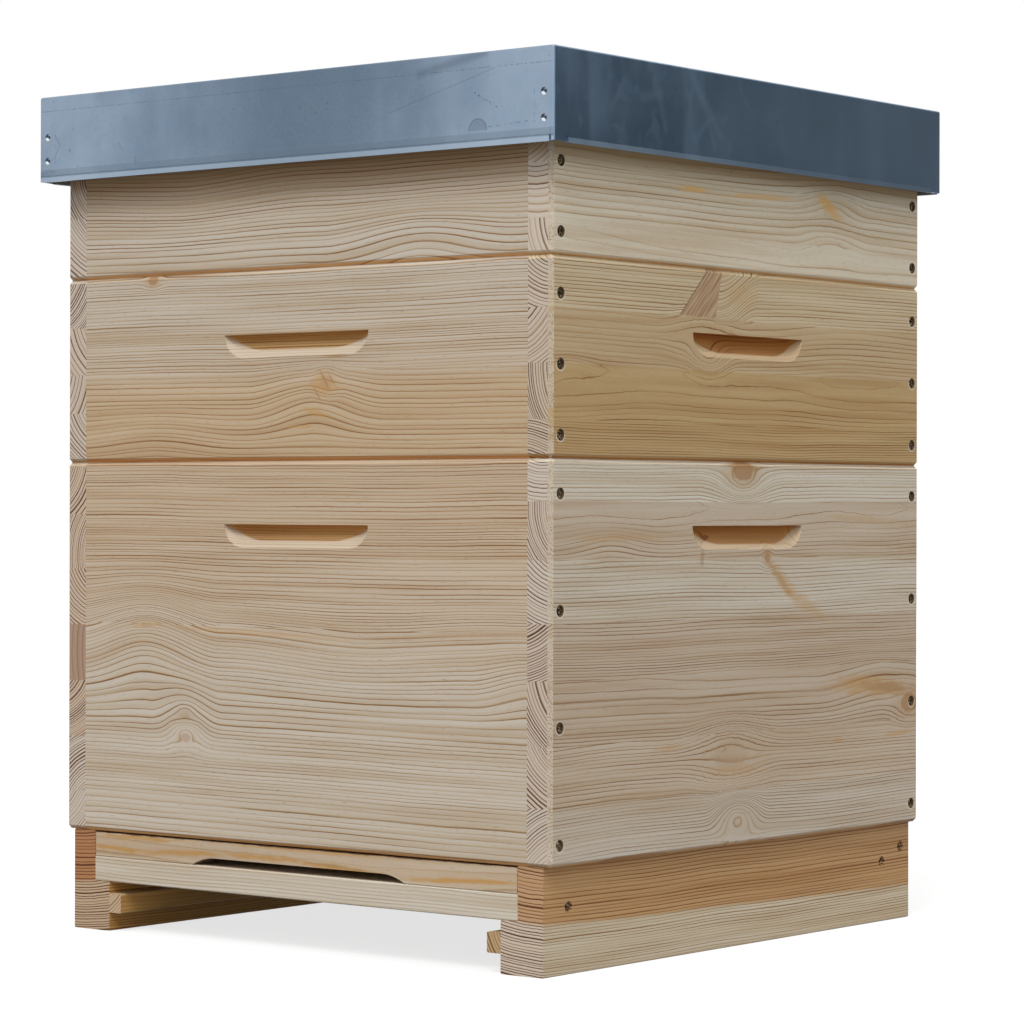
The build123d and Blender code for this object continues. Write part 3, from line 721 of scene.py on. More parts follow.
# %% Staves for the boards that stay unseen
def staves_from_list(seed, low, high):
    """Staves of about 45 mm, from a seeded list."""
    chance = random.Random(seed)
    staves = []
    foot = low
    while foot < high - 20.0:
        across = chance.choice((-1, 1)) * chance.uniform(20.0, 60.0)
        up = chance.choice((-1, 1)) * chance.uniform(35.0, 90.0)
        tone = chance.choice(("pale", "pale", "cream", "warm", "tan", "amber"))
        staves.append((foot, across, up, chance.uniform(2.0, 3.6), tone))
        foot += chance.uniform(40.0, 50.0)
    return staves


def knots_from_list(seed, low, high):
    """Two or three knots, from a seeded list."""
    chance = random.Random(seed)
    return [
        (chance.uniform(-210, 210), chance.uniform(low + 15, high - 15), chance.uniform(7, 15),
         chance.uniform(4, 9), chance.uniform(0.35, 0.9))
        for _ in range(chance.choice((2, 3)))
    ]


print("Seeded staves are ready")

# %% Finish the box boards
SIDE_PLACES = {"front": ("x", -1), "back": ("x", 1), "left": ("y", -1), "right": ("y", 1)}

for number, (box, (low, high)) in enumerate(BOX_LEVELS.items()):
    for turn, (word, (lengthwise, sign)) in enumerate(SIDE_PLACES.items()):
        board = f"{box}_{word}"
        seed = 100 * number + turn
        seen = board in SEEN_STAVES
        staves = SEEN_STAVES[board] if seen else staves_from_list(seed, low, high)
        knots = SEEN_KNOTS.get(board, []) if seen else knots_from_list(seed + 50, low, high)
        finish = pine(
            f"pine_{board}", lengthwise, sign * BOARD_MIDDLE, staves, high, knots,
            SEEN_SWELLS.get(board, ()), SEEN_STAINS.get(board, ()), SEEN_SPIKES.get(board),
            box_foot=low, outward=sign, screws=SCREW_ROWS[box] if lengthwise == "y" else None,
            shades=FRONT_SHADES.get(board, ()), end_pale=END_PALES.get(board, 0.6),
            faint=FAINT_LINES.get(board, 0.0),
        )
        dress([board], finish)
print("Box boards finished:", 4 * len(BOX_LEVELS))

# %% [markdown]
# ## The floor timbers
# The rails are sawn so that the red heartwood of the tree lies in their upper half and the pale
# sapwood below. The edge between the two follows a growth ring, so it is drawn from the distance to the
# tree's heart and runs slightly downhill along the rail. The sill, the entrance bar and the battens
# are single strips of paler wood.

# %% Finish the floor timbers
RAIL_MIDDLE = 224.0
FLOOR_TOP = 81.0
RAIL_HEART_UP = 230.0
HEART_EDGE = 196.0
RAIL_END = (1.0, 0.97, 1.06)
# painted shade: the inward faces of the rails and runners under the hive are tinted warm and dark
RAIL_INSIDE_PAINTED_SHADE = (1.22, 0.95, 0.52)

for side, sign, heartwood, sapwood in (("left", -1, "rust", "straw"), ("right", 1, "red", "ivory")):
    rail = pine(f"pine_rail_{side}", "y", sign * RAIL_MIDDLE, [(0, 20 * sign, RAIL_HEART_UP, 2.6, heartwood)],
                FLOOR_TOP, heart_edge=HEART_EDGE, sapwood=sapwood, end_pale=0.1, end_tint=RAIL_END,
                faint=-0.3, outward=sign, inside=RAIL_INSIDE_PAINTED_SHADE)
    dress([f"rail_{side}"], rail)

STRIPS = {
    "front_sill": ("x", -220, (40, 20, -90, 2.8, "white"), 0.6),
    "entrance_bar": ("x", -239, (60, -44, -8, 4.2, "warm"), 0.3),
    "rear_batten": ("x", 208, (40, 70, 60, 2.6, "warm"), 0.0),
    "rear_board": ("x", 237, (0, 30, 90, 3.0, "amber"), 0.0),
    "side_batten_left": ("y", -210, (40, -60, 70, 2.6, "warm"), 0.0),
    "side_batten_right": ("y", 210, (40, 60, 70, 2.6, "warm"), 0.0),
    "tray_runner_left": ("y", -198, (10, -40, 60, 2.4, "straw"), 0.7),
    "tray_runner_right": ("y", 198, (10, 50, 40, 2.4, "honey"), 0.5),
}
STRIP_STAINS = {
    "entrance_bar": [
        (-195, 67.6, 45, 3.0, -0.05, 0.9, "orange"), (-126, 68.2, 66, 3.0, 0.035, 0.9, "orange"),
        (-35, 70.6, 66, 3.0, 0.0, 0.85, "orange"), (45, 67.4, 66, 3.0, -0.05, 0.9, "orange"),
        (40, 68.6, 50, 1.6, -0.05, 0.6, "brown"), (165, 66.0, 70, 3.0, 0.045, 0.9, "orange"),
        (-170, 77.5, 75, 2.6, 0.0, 0.8, "orange"), (10, 78.4, 110, 1.6, 0.0, 0.6, "orange"),
        # the long stain at the end of the next line is painted shadow in the gap under the brood box
        (-130, 70, 190, 11, 0.0, 0.2, "brown"), (0, 80.2, 2000, 1.3, 0.0, 1.0, "painted_gap_shadow"),
    ],
}
for strip, (lengthwise, middle, stave, faint) in STRIPS.items():
    finish = pine(f"pine_{strip}", lengthwise, middle, [stave], FLOOR_TOP, stains=STRIP_STAINS.get(strip, []),
                  end_pale=0.1, faint=faint, outward=1 if middle > 0 else -1,
                  inside=RAIL_INSIDE_PAINTED_SHADE if strip.startswith("tray_runner") else None)
    dress([strip], finish)
print("Floor timbers finished:", 2 + len(STRIPS))

# %% [markdown]
# ## Inside the boxes
# Frames are made of limewood, which is pale and almost without lines, so the grain is only a fine
# streak. The bars lie along the hive and the end bars stand upright, and the streaks turn with them.

# %% Finish the frames
END_BARS_FROM = 212.0
LIME_DARK = (0.62, 0.50, 0.345)
LIME_PALE = (0.72, 0.615, 0.465)
LIME_CLOUD = (0.58, 0.44, 0.28)


def limewood(name):
    """Pale wood with fine streaks, along the bars and up the end bars."""
    material, shader, place, _ = new_finish(name)
    x, y, height = parts_of(place)
    upright = y.size().rise(END_BARS_FROM - 1.0, END_BARS_FROM)
    along = y * upright.flipped() + height * upright
    across = height * upright.flipped() + y * upright
    streak, _ = noise(vector(place.tree, along / 26.0, across * 1.2, x * 1.2), 3.0, 0.6)
    cloud, _ = noise(vector(place.tree, along / 70.0, across / 14.0, x / 37.0), 2.0)
    color = mixed(streak.rise(0.25, 0.75), LIME_DARK, LIME_PALE)
    color = mixed(cloud.rise(0.45, 0.75) * 0.4, color, LIME_CLOUD)
    feed(shader.inputs["Base Color"], color)
    feed(shader.inputs["Roughness"], streak * 0.2 + 0.5)
    add_bump(shader, streak, 0.25, 0.2)
    return material


frames = [name for name in NODES if "_frame_" in name]
dress(frames, limewood("limewood"))
print("Frames finished:", len(frames))

# %% [markdown]
# A foundation is a sheet of beeswax pressed between two rollers, which leave the bases of the cells as
# a honeycomb of shallow hollows 5.4 mm apart. Three waves, each turned by a third of a circle, add up to
# that pattern.

# %% Finish the wax foundations
CELL_PITCH = 5.4
WAX_DEEP = (0.66, 0.39, 0.085)
WAX_PALE = (0.78, 0.52, 0.17)
WAX_WALL = (0.86, 0.64, 0.28)


def beeswax(name):
    """Cloudy wax with a honeycomb of pale cell walls."""
    material, shader, place, _ = new_finish(name)
    x, y, height = parts_of(place)
    turn = 4.0 * math.pi / (math.sqrt(3.0) * CELL_PITCH)
    half, slant = 0.5 * turn, math.sqrt(0.75) * turn
    cells = (y * turn).wave() + (y * half + height * slant).wave() + (y * half - height * slant).wave()
    wall = (cells / 3.0).rise(-0.45, 0.1).flipped()
    cloud, _ = noise(vector(place.tree, x / 37.0, y / 45.0, height / 45.0), 3.0)
    color = mixed(cloud.rise(0.3, 0.7), WAX_DEEP, WAX_PALE)
    color = mixed(wall * 0.45, color, WAX_WALL)
    feed(shader.inputs["Base Color"], color)
    feed(shader.inputs["Roughness"], cloud * 0.2 + 0.36)
    shader.inputs["Subsurface Weight"].default_value = 0.12
    shader.inputs["Subsurface Scale"].default_value = 0.002
    add_bump(shader, wall, 0.8, 0.8)
    return material


dress(["brood_foundations", "super_foundations"], beeswax("beeswax"))
print("Cells are", CELL_PITCH, "mm apart")

# %% [markdown]
# The inner cover is plywood: its faces are peeled from the log, so the rings run out into wide waves,
# and its edge shows three layers. The plug in its feed hole is turned from pine.

# %% Finish the inner cover and its plug
PANEL_FOOT = 536.0
PANEL_HEIGHT = 8.0
PLY_FACE = (0.58, 0.455, 0.310)
PLY_LINE = (0.38, 0.25, 0.145)
PLY_STREAK = (0.64, 0.52, 0.38)
PLY_CORE = (0.30, 0.19, 0.11)


def plywood(name):
    """Peeled faces with wide waves, and an edge of three layers."""
    material, shader, place, facing = new_finish(name)
    x, y, height = parts_of(place)
    upward = parts_of(facing)[2].size().rise(0.6, 0.9)
    swell, _ = noise(vector(place.tree, x / 240.0, y / 60.0, height / 8.0), 1.0)
    streak, _ = noise(vector(place.tree, x / 26.0, y * 1.1, height), 3.0, 0.6)
    season = (swell * 11.0).fraction()
    line = season.rise(0.5, 0.95) * season.rise(0.96, 1.0).flipped()
    layer = ((height - PANEL_FOOT) / (PANEL_HEIGHT / 3.0)).whole()
    core = (layer - 1.0).hill(0.5) * upward.flipped()
    color = mixed(line * upward * 0.7, PLY_FACE, PLY_LINE)
    color = mixed(streak * 0.5, color, PLY_STREAK)
    color = mixed(core * 0.6, color, PLY_CORE)
    feed(shader.inputs["Base Color"], color)
    feed(shader.inputs["Roughness"], streak * 0.2 + 0.5)
    add_bump(shader, streak + line * 0.5, 0.25, 0.2)
    return material


dress(["inner_cover"], plywood("plywood"))
dress(["feed_plug"], pine("pine_plug", "x", 0.0, [(540, 30, -60, 2.6, "warm")], 575.0))
print("Inner cover and plug finished")

# %% [markdown]
# ## Screws, staples and rivets
# The screws are yellow passivated steel. Their sunk heads are painted nearly black as the shade of the
# holes, with small bright spots painted as glints. Staples and wires are bright steel. The rivets of the
# roof are soft aluminium with a rounded head, painted dark round the rim and above as shade. All are
# metals, so their colour is the colour of the shine, and small spots of noise dull them. The screws are
# metal only in part, so their painted colour shows whatever the light.

# %% Finish the small metal
SPOT_SIZE = 1.6
RIVET_BRIGHT = (0.74, 0.78, 0.83)
# painted shade: the rim and upper side of each rivet head are darkened by the way they face
RIVET_PAINTED_SHADE = (0.05, 0.06, 0.08)


def plain_metal(name, bright, dull, smooth, rough, edge=(0.35, 0.70), metallic=1.0):
    """Bright metal with duller, rougher spots."""
    material, shader, place, _ = new_finish(name)
    spots, _ = noise(spread(place, SPOT_SIZE), 3.0, 0.6)
    feed(shader.inputs["Base Color"], mixed(spots.rise(*edge), bright, dull))
    feed(shader.inputs["Roughness"], spots * (rough - smooth) + smooth)
    shader.inputs["Metallic"].default_value = metallic
    add_bump(shader, spots, 0.2, 0.08)
    return material


def rivet_alloy(name):
    """Bright in the middle, and painted dark round the rim and on the upper side as shade."""
    material, shader, place, facing = new_finish(name)
    _, outward, up = parts_of(facing)
    spots, _ = noise(spread(place, SPOT_SIZE), 3.0, 0.6)
    rivet_shade = (outward.size() - up * 0.7 + (spots - 0.5) * 0.2).rise(0.95, 1.12).flipped()
    feed(shader.inputs["Base Color"], mixed(rivet_shade, RIVET_BRIGHT, RIVET_PAINTED_SHADE))
    feed(shader.inputs["Roughness"], spots * 0.2 + 0.18)
    shader.inputs["Metallic"].default_value = 1.0
    return material


# painted shade and glints: the sunk heads are nearly black as the shade of the holes, with small bright spots
# as glints
screw_steel = plain_metal(
    "screw_steel", (0.95, 0.80, 0.50), (0.07, 0.05, 0.028), smooth=0.18, rough=0.45, edge=(0.43, 0.50),
    metallic=0.6,
)
bright_steel = plain_metal("bright_steel", (0.58, 0.59, 0.60), (0.36, 0.36, 0.36), smooth=0.25, rough=0.5)
dress([name for name in NODES if name.endswith("_screws")], screw_steel)
dress(["mesh_staples"], bright_steel)
dress(["roof_rivets"], rivet_alloy("rivet_alloy"))
print("Small metal finished")

# %% [markdown]
# ## The folded zinc roof
# A tinsmith cuts the roof from one sheet, folds the four skirts down over a bar, tucks a tab round each
# corner and rivets it, and turns the lower edge outwards and flat as a hem, so that nobody is cut by it.
# Here a box without a bottom is marked out with straight cuts where the folds, the hem and the tabs
# lie. Then the folds are rounded, the marked strips are pushed by parts of a millimetre, the hem is
# drawn out of the lower edge and the sheet gets its thickness last.

# %% Hands for edit mode
MM = 0.001


def begin(piece):
    """Goes into edit mode on one piece, with nothing selected."""
    bpy.ops.object.select_all(action="DESELECT")
    piece.select_set(True)
    bpy.context.view_layer.objects.active = piece
    bpy.ops.object.mode_set(mode="EDIT")
    bpy.ops.mesh.select_all(action="DESELECT")


def pick(kind, test):
    """Selects the vertices, edges or faces whose middle, in millimetres, passes a test."""
    bpy.ops.mesh.select_mode(type=kind)
    bpy.ops.mesh.select_all(action="DESELECT")
    data = bpy.context.object.data
    mesh = bmesh.from_edit_mesh(data)
    chosen = []
    for item in {"VERT": mesh.verts, "EDGE": mesh.edges, "FACE": mesh.faces}[kind]:
        corners = [item] if kind == "VERT" else item.verts
        middle = sum((corner.co for corner in corners), Vector()) / len(corners) / MM
        if test(middle, item):
            chosen.append(item)
    for item in chosen:
        item.select_set(True)
    mesh.select_flush_mode()
    bmesh.update_edit_mesh(data)
    return len(chosen)


def cut(axis, places):
    """Cuts straight through the whole piece at some places along an axis, in millimetres."""
    normal = [1.0 if letter == axis else 0.0 for letter in "xyz"]
    for place in places:
        bpy.ops.mesh.select_all(action="SELECT")
        bpy.ops.mesh.bisect(plane_co=[place * MM * part for part in normal], plane_no=normal)


def push(x, y, z):
    """Moves what is selected, in millimetres."""
    bpy.ops.transform.translate(value=(x * MM, y * MM, z * MM))


def draw_out(x, y, z):
    """Extrudes what is selected, in millimetres."""
    bpy.ops.mesh.extrude_region_move(TRANSFORM_OT_translate={"value": (x * MM, y * MM, z * MM)})


print("Edit-mode helpers are ready")

# %% Mark out the sheet
SHEET = 0.8
HEM_GAP = 0.15
HEM_HEIGHT = 4.2
FOLD = 1.8
CREASE_DROP = 12.0
BAND_RISE = 10.0
SEAM = (2.95, 3.3, 3.65)
TAB = 17.8
TAB_DROPS = (28.0, 57.1)
SIDE_HEM_GAP = 16.0
FACET = (-102.0, 184.0)
FACET_RUN = 20.0

low, high = (Vector(corner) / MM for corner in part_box("roof_sheet"))
half_x, half_y = (high.x - low.x) / 2 - SHEET, (high.y - low.y) / 2 - SHEET
top, foot = high.z, low.z + SHEET
forward = (high.y + low.y) / 2
bpy.ops.mesh.primitive_cube_add(size=1.0)
roof = bpy.context.object
roof.name = "roof_sheet_folded"
begin(roof)
bpy.ops.mesh.select_all(action="SELECT")
bpy.ops.transform.resize(value=(2 * half_x * MM, 2 * half_y * MM, (top - foot) * MM))
push(0.0, 0.0, (top + foot) / 2)
pick("FACE", lambda _, face: face.normal.z < -0.5)
bpy.ops.mesh.delete(type="FACE")
cut("z", [foot + HEM_HEIGHT, foot + BAND_RISE, top - TAB_DROPS[1], top - TAB_DROPS[0], top - CREASE_DROP])
for sign in (-1, 1):
    cut("x", [sign * (half_x - inset) for inset in (*SEAM, TAB)])
    cut("y", [sign * (half_y - SIDE_HEM_GAP)])
cut("x", [FACET[0] - FACET_RUN, FACET[0], FACET[1], FACET[1] + FACET_RUN])
print("Roof sheet", round(2 * half_x, 1), "by", round(2 * half_y, 1), "mm, marked out")

# %% Round the folds
def near(value, target):
    """Whether two measures are the same, in millimetres."""
    return abs(value - target) < 0.02


def on_fold(middle, _):
    across, along = near(abs(middle.x), half_x), near(abs(middle.y), half_y)
    return (across and along) or (near(middle.z, top) and (across or along))


folds = pick("EDGE", on_fold)
bpy.ops.mesh.bevel(offset=FOLD * MM, segments=4, affect="EDGES")
print("Edges rounded:", folds)

# %% Push the marked strips
SEAM_DEPTH = 0.15
HEM_TUCK = 0.7
SIDE_HEM_TUCK = 0.6
TAB_MARGIN = 2.0
TAB_PROUD = 0.04
FACET_DENT = 0.7

for sign in (-1, 1):
    pick("VERT", lambda middle, _: near(middle.y, sign * half_y) and near(abs(middle.x), half_x - SEAM[1]))
    push(0.0, -sign * SEAM_DEPTH, 0.0)
    pick("VERT", lambda middle, _: near(middle.y, sign * half_y) and near(middle.z, foot + HEM_HEIGHT)
         and abs(middle.x) < half_x - SEAM[2] + 0.02)
    push(0.0, -sign * HEM_TUCK, 0.0)
    pick("VERT", lambda middle, _: near(middle.x, sign * half_x) and near(middle.z, foot + HEM_HEIGHT)
         and abs(middle.y) < half_y - SIDE_HEM_GAP + 0.02)
    push(-sign * SIDE_HEM_TUCK, 0.0, 0.0)
    tabs = pick("FACE", lambda middle, _: near(middle.y, sign * half_y)
                and half_x - TAB < abs(middle.x) < half_x - SEAM[2]
                and top - TAB_DROPS[1] < middle.z < top - TAB_DROPS[0])
    bpy.ops.mesh.inset(thickness=TAB_MARGIN * MM)
    push(0.0, sign * TAB_PROUD, 0.0)
pick("VERT", lambda middle, _: near(middle.y, -half_y) and near(middle.z, top - CREASE_DROP)
     and FACET[0] - 0.1 < middle.x < FACET[1] + 0.1)
push(0.0, FACET_DENT, 0.0)
print("Tab faces pushed out on each end:", tabs)

# %% Draw the hem out of the lower edge
HEM_LEAN = 0.25

for sign in (-1, 1):
    pick("EDGE", lambda middle, edge: edge.is_boundary and near(middle.z, foot)
         and near(middle.y, sign * half_y) and abs(middle.x) < half_x - SEAM[2])
    draw_out(0.0, sign * HEM_GAP, 0.0)
    draw_out(0.0, sign * HEM_LEAN, HEM_HEIGHT)
    pick("EDGE", lambda middle, edge: edge.is_boundary and near(middle.z, foot)
         and near(middle.x, sign * half_x) and abs(middle.y) < half_y - SIDE_HEM_GAP)
    draw_out(sign * HEM_GAP, 0.0, 0.0)
    draw_out(sign * HEM_LEAN, 0.0, HEM_HEIGHT)
bpy.ops.object.mode_set(mode="OBJECT")
thickness = roof.modifiers.new("thickness", "SOLIDIFY")
thickness.thickness = SHEET * MM
thickness.offset = -1.0
thickness.use_even_offset = True
bpy.ops.object.modifier_apply(modifier="thickness")
print("Roof sheet faces:", len(roof.data.polygons))

# %% [markdown]
# The tabs are folded round the corners from the side skirts and lie flat behind the front and back
# skirts. One is made from a cube with eased edges, copied to the other three corners and joined on.

# %% Tabs behind the rivets
TAB_ROUND = 2.5
MIDDLE = (0.0, 0.0, 0.0)

bpy.ops.mesh.primitive_cube_add(size=1.0)
tab = bpy.context.object
begin(tab)
bpy.ops.mesh.select_all(action="SELECT")
bpy.ops.transform.resize(value=((TAB - SHEET) * MM, SHEET * MM, (TAB_DROPS[1] - TAB_DROPS[0]) * MM))
push(half_x - SHEET - (TAB - SHEET) / 2, half_y - 1.5 * SHEET, top - sum(TAB_DROPS) / 2)
pick("EDGE", lambda middle, edge: near(middle.x, half_x - TAB)
     and abs(edge.verts[0].co.y - edge.verts[1].co.y) > SHEET * MM / 2)
bpy.ops.mesh.bevel(offset=TAB_ROUND * MM, segments=3, affect="EDGES")
for axis in "xy":
    bpy.ops.mesh.select_all(action="SELECT")
    bpy.ops.mesh.duplicate()
    bpy.ops.transform.mirror(constraint_axis=(axis == "x", axis == "y", False), center_override=MIDDLE)
bpy.ops.mesh.select_all(action="SELECT")
bpy.ops.mesh.normals_make_consistent(inside=False)
bpy.ops.object.mode_set(mode="OBJECT")
print("Faces of the four tabs:", len(tab.data.polygons))

# %% Join the roof and smooth its folds
SMOOTH_BELOW = math.radians(32.0)

bpy.ops.object.select_all(action="DESELECT")
tab.select_set(True)
roof.select_set(True)
bpy.context.view_layer.objects.active = roof
bpy.ops.object.join()
begin(roof)
bpy.ops.mesh.select_all(action="SELECT")
push(0.0, forward, 0.0)
bpy.ops.object.mode_set(mode="OBJECT")
bpy.ops.object.shade_smooth_by_angle(angle=SMOOTH_BELOW)
flatness = roof.modifiers.new("flatness", "WEIGHTED_NORMAL")
flatness.keep_sharp = True
bpy.ops.object.modifier_apply(modifier="flatness")
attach(roof, "roof")
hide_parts("roof_sheet")
print("Roof sheet with tabs:", len(roof.data.polygons), "faces")

# %% [markdown]
# Zinc left outdoors turns blue-grey. Rain draws pale smears down the skirts. The middle of the front is
# painted darker as shade in its reflection, the right end of the front and the far end of the sides are
# painted lighter as sheen, and the side skirts get painted shade. Handling left a few scratches, dents and
# rubbed spots, which are listed as short strokes, the dark strokes of the dents as painted shade. The
# distance to a stroke tells how strongly it marks a point. Soft noise alone would make stains everywhere
# and scratches nowhere.

# %% Strokes on the skirts: start, end, half width, strength, dotted or not
FRONT_STROKES = [
    ((111, 641), (212, 667), 0.6, 0.40, False), ((193, 650), (214, 638), 1.0, 0.80, True),
    ((206, 624), (245, 626), 0.7, 0.60, True), ((-249, 648), (-244, 640), 0.6, 0.60, False),
    ((-244, 640), (-250, 628), 0.6, 0.50, False), ((-264, 618), (-251, 618), 2.6, 0.45, True),
    # the first stroke on the next line is painted shade at the right end of the flattened strip below the
    # fold
    ((140, 668), (203, 679), 6.0, 0.40, False), ((-176, 637), (-172, 631), 0.6, 0.50, False),
    ((-232, 635), (-232, 634), 1.2, 0.80, False), ((-158, 625), (-157, 619), 0.7, 0.60, False),
    ((249, 624), (249, 651), 0.6, 0.45, True), ((-249, 624), (-249, 651), 0.6, 0.40, True),
]
SIDE_STROKES = [
    ((-101, 679), (-84, 655), 6.0, 0.55), ((-88, 664), (-61, 632), 7.0, 0.45),
    ((-80, 650), (-68, 622), 5.0, 0.35), ((-160, 652), (-140, 656), 7.0, 0.35),
    ((-140, 656), (-132, 630), 6.0, 0.35), ((-200, 640), (-185, 662), 5.0, 0.25),
    ((-150, 678), (-143, 660), 9.0, 0.25), ((110, 660), (104, 628), 9.0, 0.25),
    ((215, 655), (222, 668), 1.2, 0.50),
]


def from_stroke(across, height, start, end):
    """How far a point is from a straight stroke, in millimetres."""
    run, climb = end[0] - start[0], end[1] - start[1]
    from_x, from_z = across - start[0], height - start[1]
    share = (from_x * run + from_z * climb) / (run * run + climb * climb)
    share = share.calculate("MAXIMUM", 0.0).calculate("MINIMUM", 1.0)
    return ((from_x - share * run).squared() + (from_z - share * climb).squared()).root()


print("Strokes listed:", len(FRONT_STROKES) + len(SIDE_STROKES))

# %% The skin of the zinc
ZINC_SKIN = ((0.245, 0.308, 0.382), (0.325, 0.390, 0.470))
# painted shade for the middle of the front and for the side skirts; the pale colour serves the rain smears
# and a painted sheen
ZINC_FRONT_PAINTED_SHADE = (0.140, 0.188, 0.242)
ZINC_SIDE_PAINTED_SHADE = (0.80, 0.90, 0.98)
ZINC_WEAR_AND_SHEEN = (0.42, 0.50, 0.59)
ZINC_BLUE = (0.335, 0.48, 0.64)
PAINTED_SHADE_FRONT = (20.0, 235.0)
SWIRL = (40.0, 24.0, 30.0)


def zinc_skin(place, front, side, cloud, grain, smear):
    """Cloudy blue-grey with pale smears and swirls on the sides, painted shade in the middle of the front and
    on the side skirts, and painted sheen at the right end of the front and the far end of the sides.
    """
    x, y, height = parts_of(place)
    color = mixed(cloud.rise(0.3, 0.7), *ZINC_SKIN)
    # painted shade in the middle of the front, pale rain smears, painted sheen at the right end of the front
    # and the far end of the sides, and painted shade on the side skirts
    color = mixed((x - PAINTED_SHADE_FRONT[0]).hill(PAINTED_SHADE_FRONT[1]) * front * 0.72, color, ZINC_FRONT_PAINTED_SHADE)
    color = mixed(smear.rise(0.52, 0.72) * (side * 0.35 + 0.12), color, ZINC_WEAR_AND_SHEEN)
    color = mixed(front * x.rise(150.0, 240.0) * 0.25, color, ZINC_WEAR_AND_SHEEN)
    color = mixed(side * y.rise(-200.0, 160.0) * 0.9, color, ZINC_WEAR_AND_SHEEN)
    color = mixed(side, color, ZINC_SIDE_PAINTED_SHADE, "MULTIPLY")
    _, drift = noise(spread(place, 45.0), 1.0)
    swept = [part * 3.0 + axis / reach for part, axis, reach in zip(parts_of(drift), (x, y, height), SWIRL)]
    swirl, _ = noise(vector(place.tree, *swept), 2.0)
    swirled = swirl.rise(0.52, 0.70) * side * (y.rise(-60.0, 120.0).flipped() * 0.25 + 0.15)
    color = mixed(swirled, color, ZINC_BLUE)
    return mixed((grain - 0.5) * 0.6 + 0.5, color, color, "SOFT_LIGHT")


# the painted shade in the middle of the front reaches this far
print("The dark skin of the front reaches", PAINTED_SHADE_FRONT[1], "mm to each side")

# %% Marks on the zinc
ZINC_DARK_MARKS_AND_SHADE = (0.085, 0.115, 0.155)
ZINC_SPECK = (0.06, 0.08, 0.11)
RUBBED_SPOT = (196.0, 622.0, 8.5)


def mark_zinc(color, place, front, side, cloud):
    """Scratches, dents drawn as painted shade, a rubbed spot, a dotted dark line along the crease below the
    fold, and dark specks.
    """
    x, y, height = parts_of(place)
    dots, _ = noise(spread(place, 1.7), 0.0)
    for start, end, width, strength, dotted in FRONT_STROKES:
        mark = from_stroke(x, height, start, end).hill(width) * front * strength
        color = mixed(mark * dots.rise(0.45, 0.55) if dotted else mark, color, ZINC_DARK_MARKS_AND_SHADE)
    for start, end, width, strength in SIDE_STROKES:
        color = mixed(from_stroke(y, height, start, end).hill(width) * side * strength, color, ZINC_BLUE)
    spot_x, spot_z, spot_radius = RUBBED_SPOT
    spot = ((x - spot_x).squared() + (height - spot_z).squared()).root() - spot_radius
    upper = (height - spot_z).rise(-1.0, 0.5) * front
    color = mixed((spot.rise(-0.5, 0.5).flipped() * 0.30 + spot.hill(1.0) * 0.4) * upper, color, ZINC_DARK_MARKS_AND_SHADE)
    crease = (height - (top - CREASE_DROP)).hill(0.6) * front * dots.rise(0.40, 0.55)
    color = mixed(crease * 0.55, color, ZINC_DARK_MARKS_AND_SHADE)
    speck, _ = noise(spread(place, 2.6, 31.0), 1.0)
    return mixed(speck.rise(0.74, 0.79) * cloud.rise(0.45, 0.6) * 0.7, color, ZINC_SPECK)


print("Rubbed spot", 2 * RUBBED_SPOT[2], "mm wide")

# %% The hem and the finished zinc
# painted highlight on the hem, painted shade on the band above it and on the line between them
ZINC_BAND_SHADE = (0.13, 0.175, 0.225)
HEM_PAINTED_HIGHLIGHT = (0.50, 0.67, 0.86)
HEM_HIGHLIGHT_HEIGHT = 3.2


def edge_zinc(color, place, side, ends):
    """A painted highlight on the hem, painted shade on the band above it and a painted line of shade between
    the two.
    """
    _, y, height = parts_of(place)
    above_foot = height - foot
    hem_highlight = above_foot.rise(HEM_HIGHLIGHT_HEIGHT - 0.4, HEM_HIGHLIGHT_HEIGHT).flipped()
    hem_end = half_y - SIDE_HEM_GAP
    hemmed = (y - forward).size().rise(hem_end - 0.5, hem_end).flipped()
    band = above_foot.rise(BAND_RISE - 1.0, BAND_RISE).flipped() * ends * hem_highlight.flipped()
    color = mixed(band * 0.35, color, ZINC_BAND_SHADE)
    color = mixed(hem_highlight * ends * 0.45, color, ZINC_WEAR_AND_SHEEN)
    color = mixed(hem_highlight * side * hemmed * (y.rise(-250.0, 150.0) * -0.5 + 0.9), color, HEM_PAINTED_HIGHLIGHT)
    uneven, _ = noise(spread(place, 6.0), 2.0)
    shade = (above_foot - HEM_HEIGHT - (uneven - 0.5) * 1.2).hill(0.9)
    return mixed(shade * ends * 0.6, color, ZINC_DARK_MARKS_AND_SHADE)


def weathered_zinc(name):
    """Dull metal with its skin, its marks and its edges."""
    material, shader, place, facing = new_finish(name)
    x, y, height = parts_of(place)
    face_x, face_y, _ = parts_of(facing)
    front = face_y.rise(-0.9, -0.6).flipped()
    side = face_x.size().rise(0.6, 0.9)
    ends = face_y.size().rise(0.6, 0.9)
    cloud, _ = noise(spread(place, 90.0), 4.0, 0.6)
    grain, _ = noise(spread(place, 2.2), 3.0, 0.7)
    smear, _ = noise(vector(place.tree, x / 40.0, y / 30.0, height / 150.0), 2.0)
    color = zinc_skin(place, front, side, cloud, grain, smear)
    color = mark_zinc(color, place, front, side, cloud)
    feed(shader.inputs["Base Color"], edge_zinc(color, place, side, ends))
    feed(shader.inputs["Roughness"], cloud * 0.12 + grain * 0.10 + smear * 0.10 + 0.22)
    shader.inputs["Metallic"].default_value = 1.0
    add_bump(shader, grain * 0.4 + cloud * 2.0, 0.25, 0.25)
    return material


roof.data.materials.clear()
roof.data.materials.append(weathered_zinc("weathered_zinc"))
print("Zinc finished")

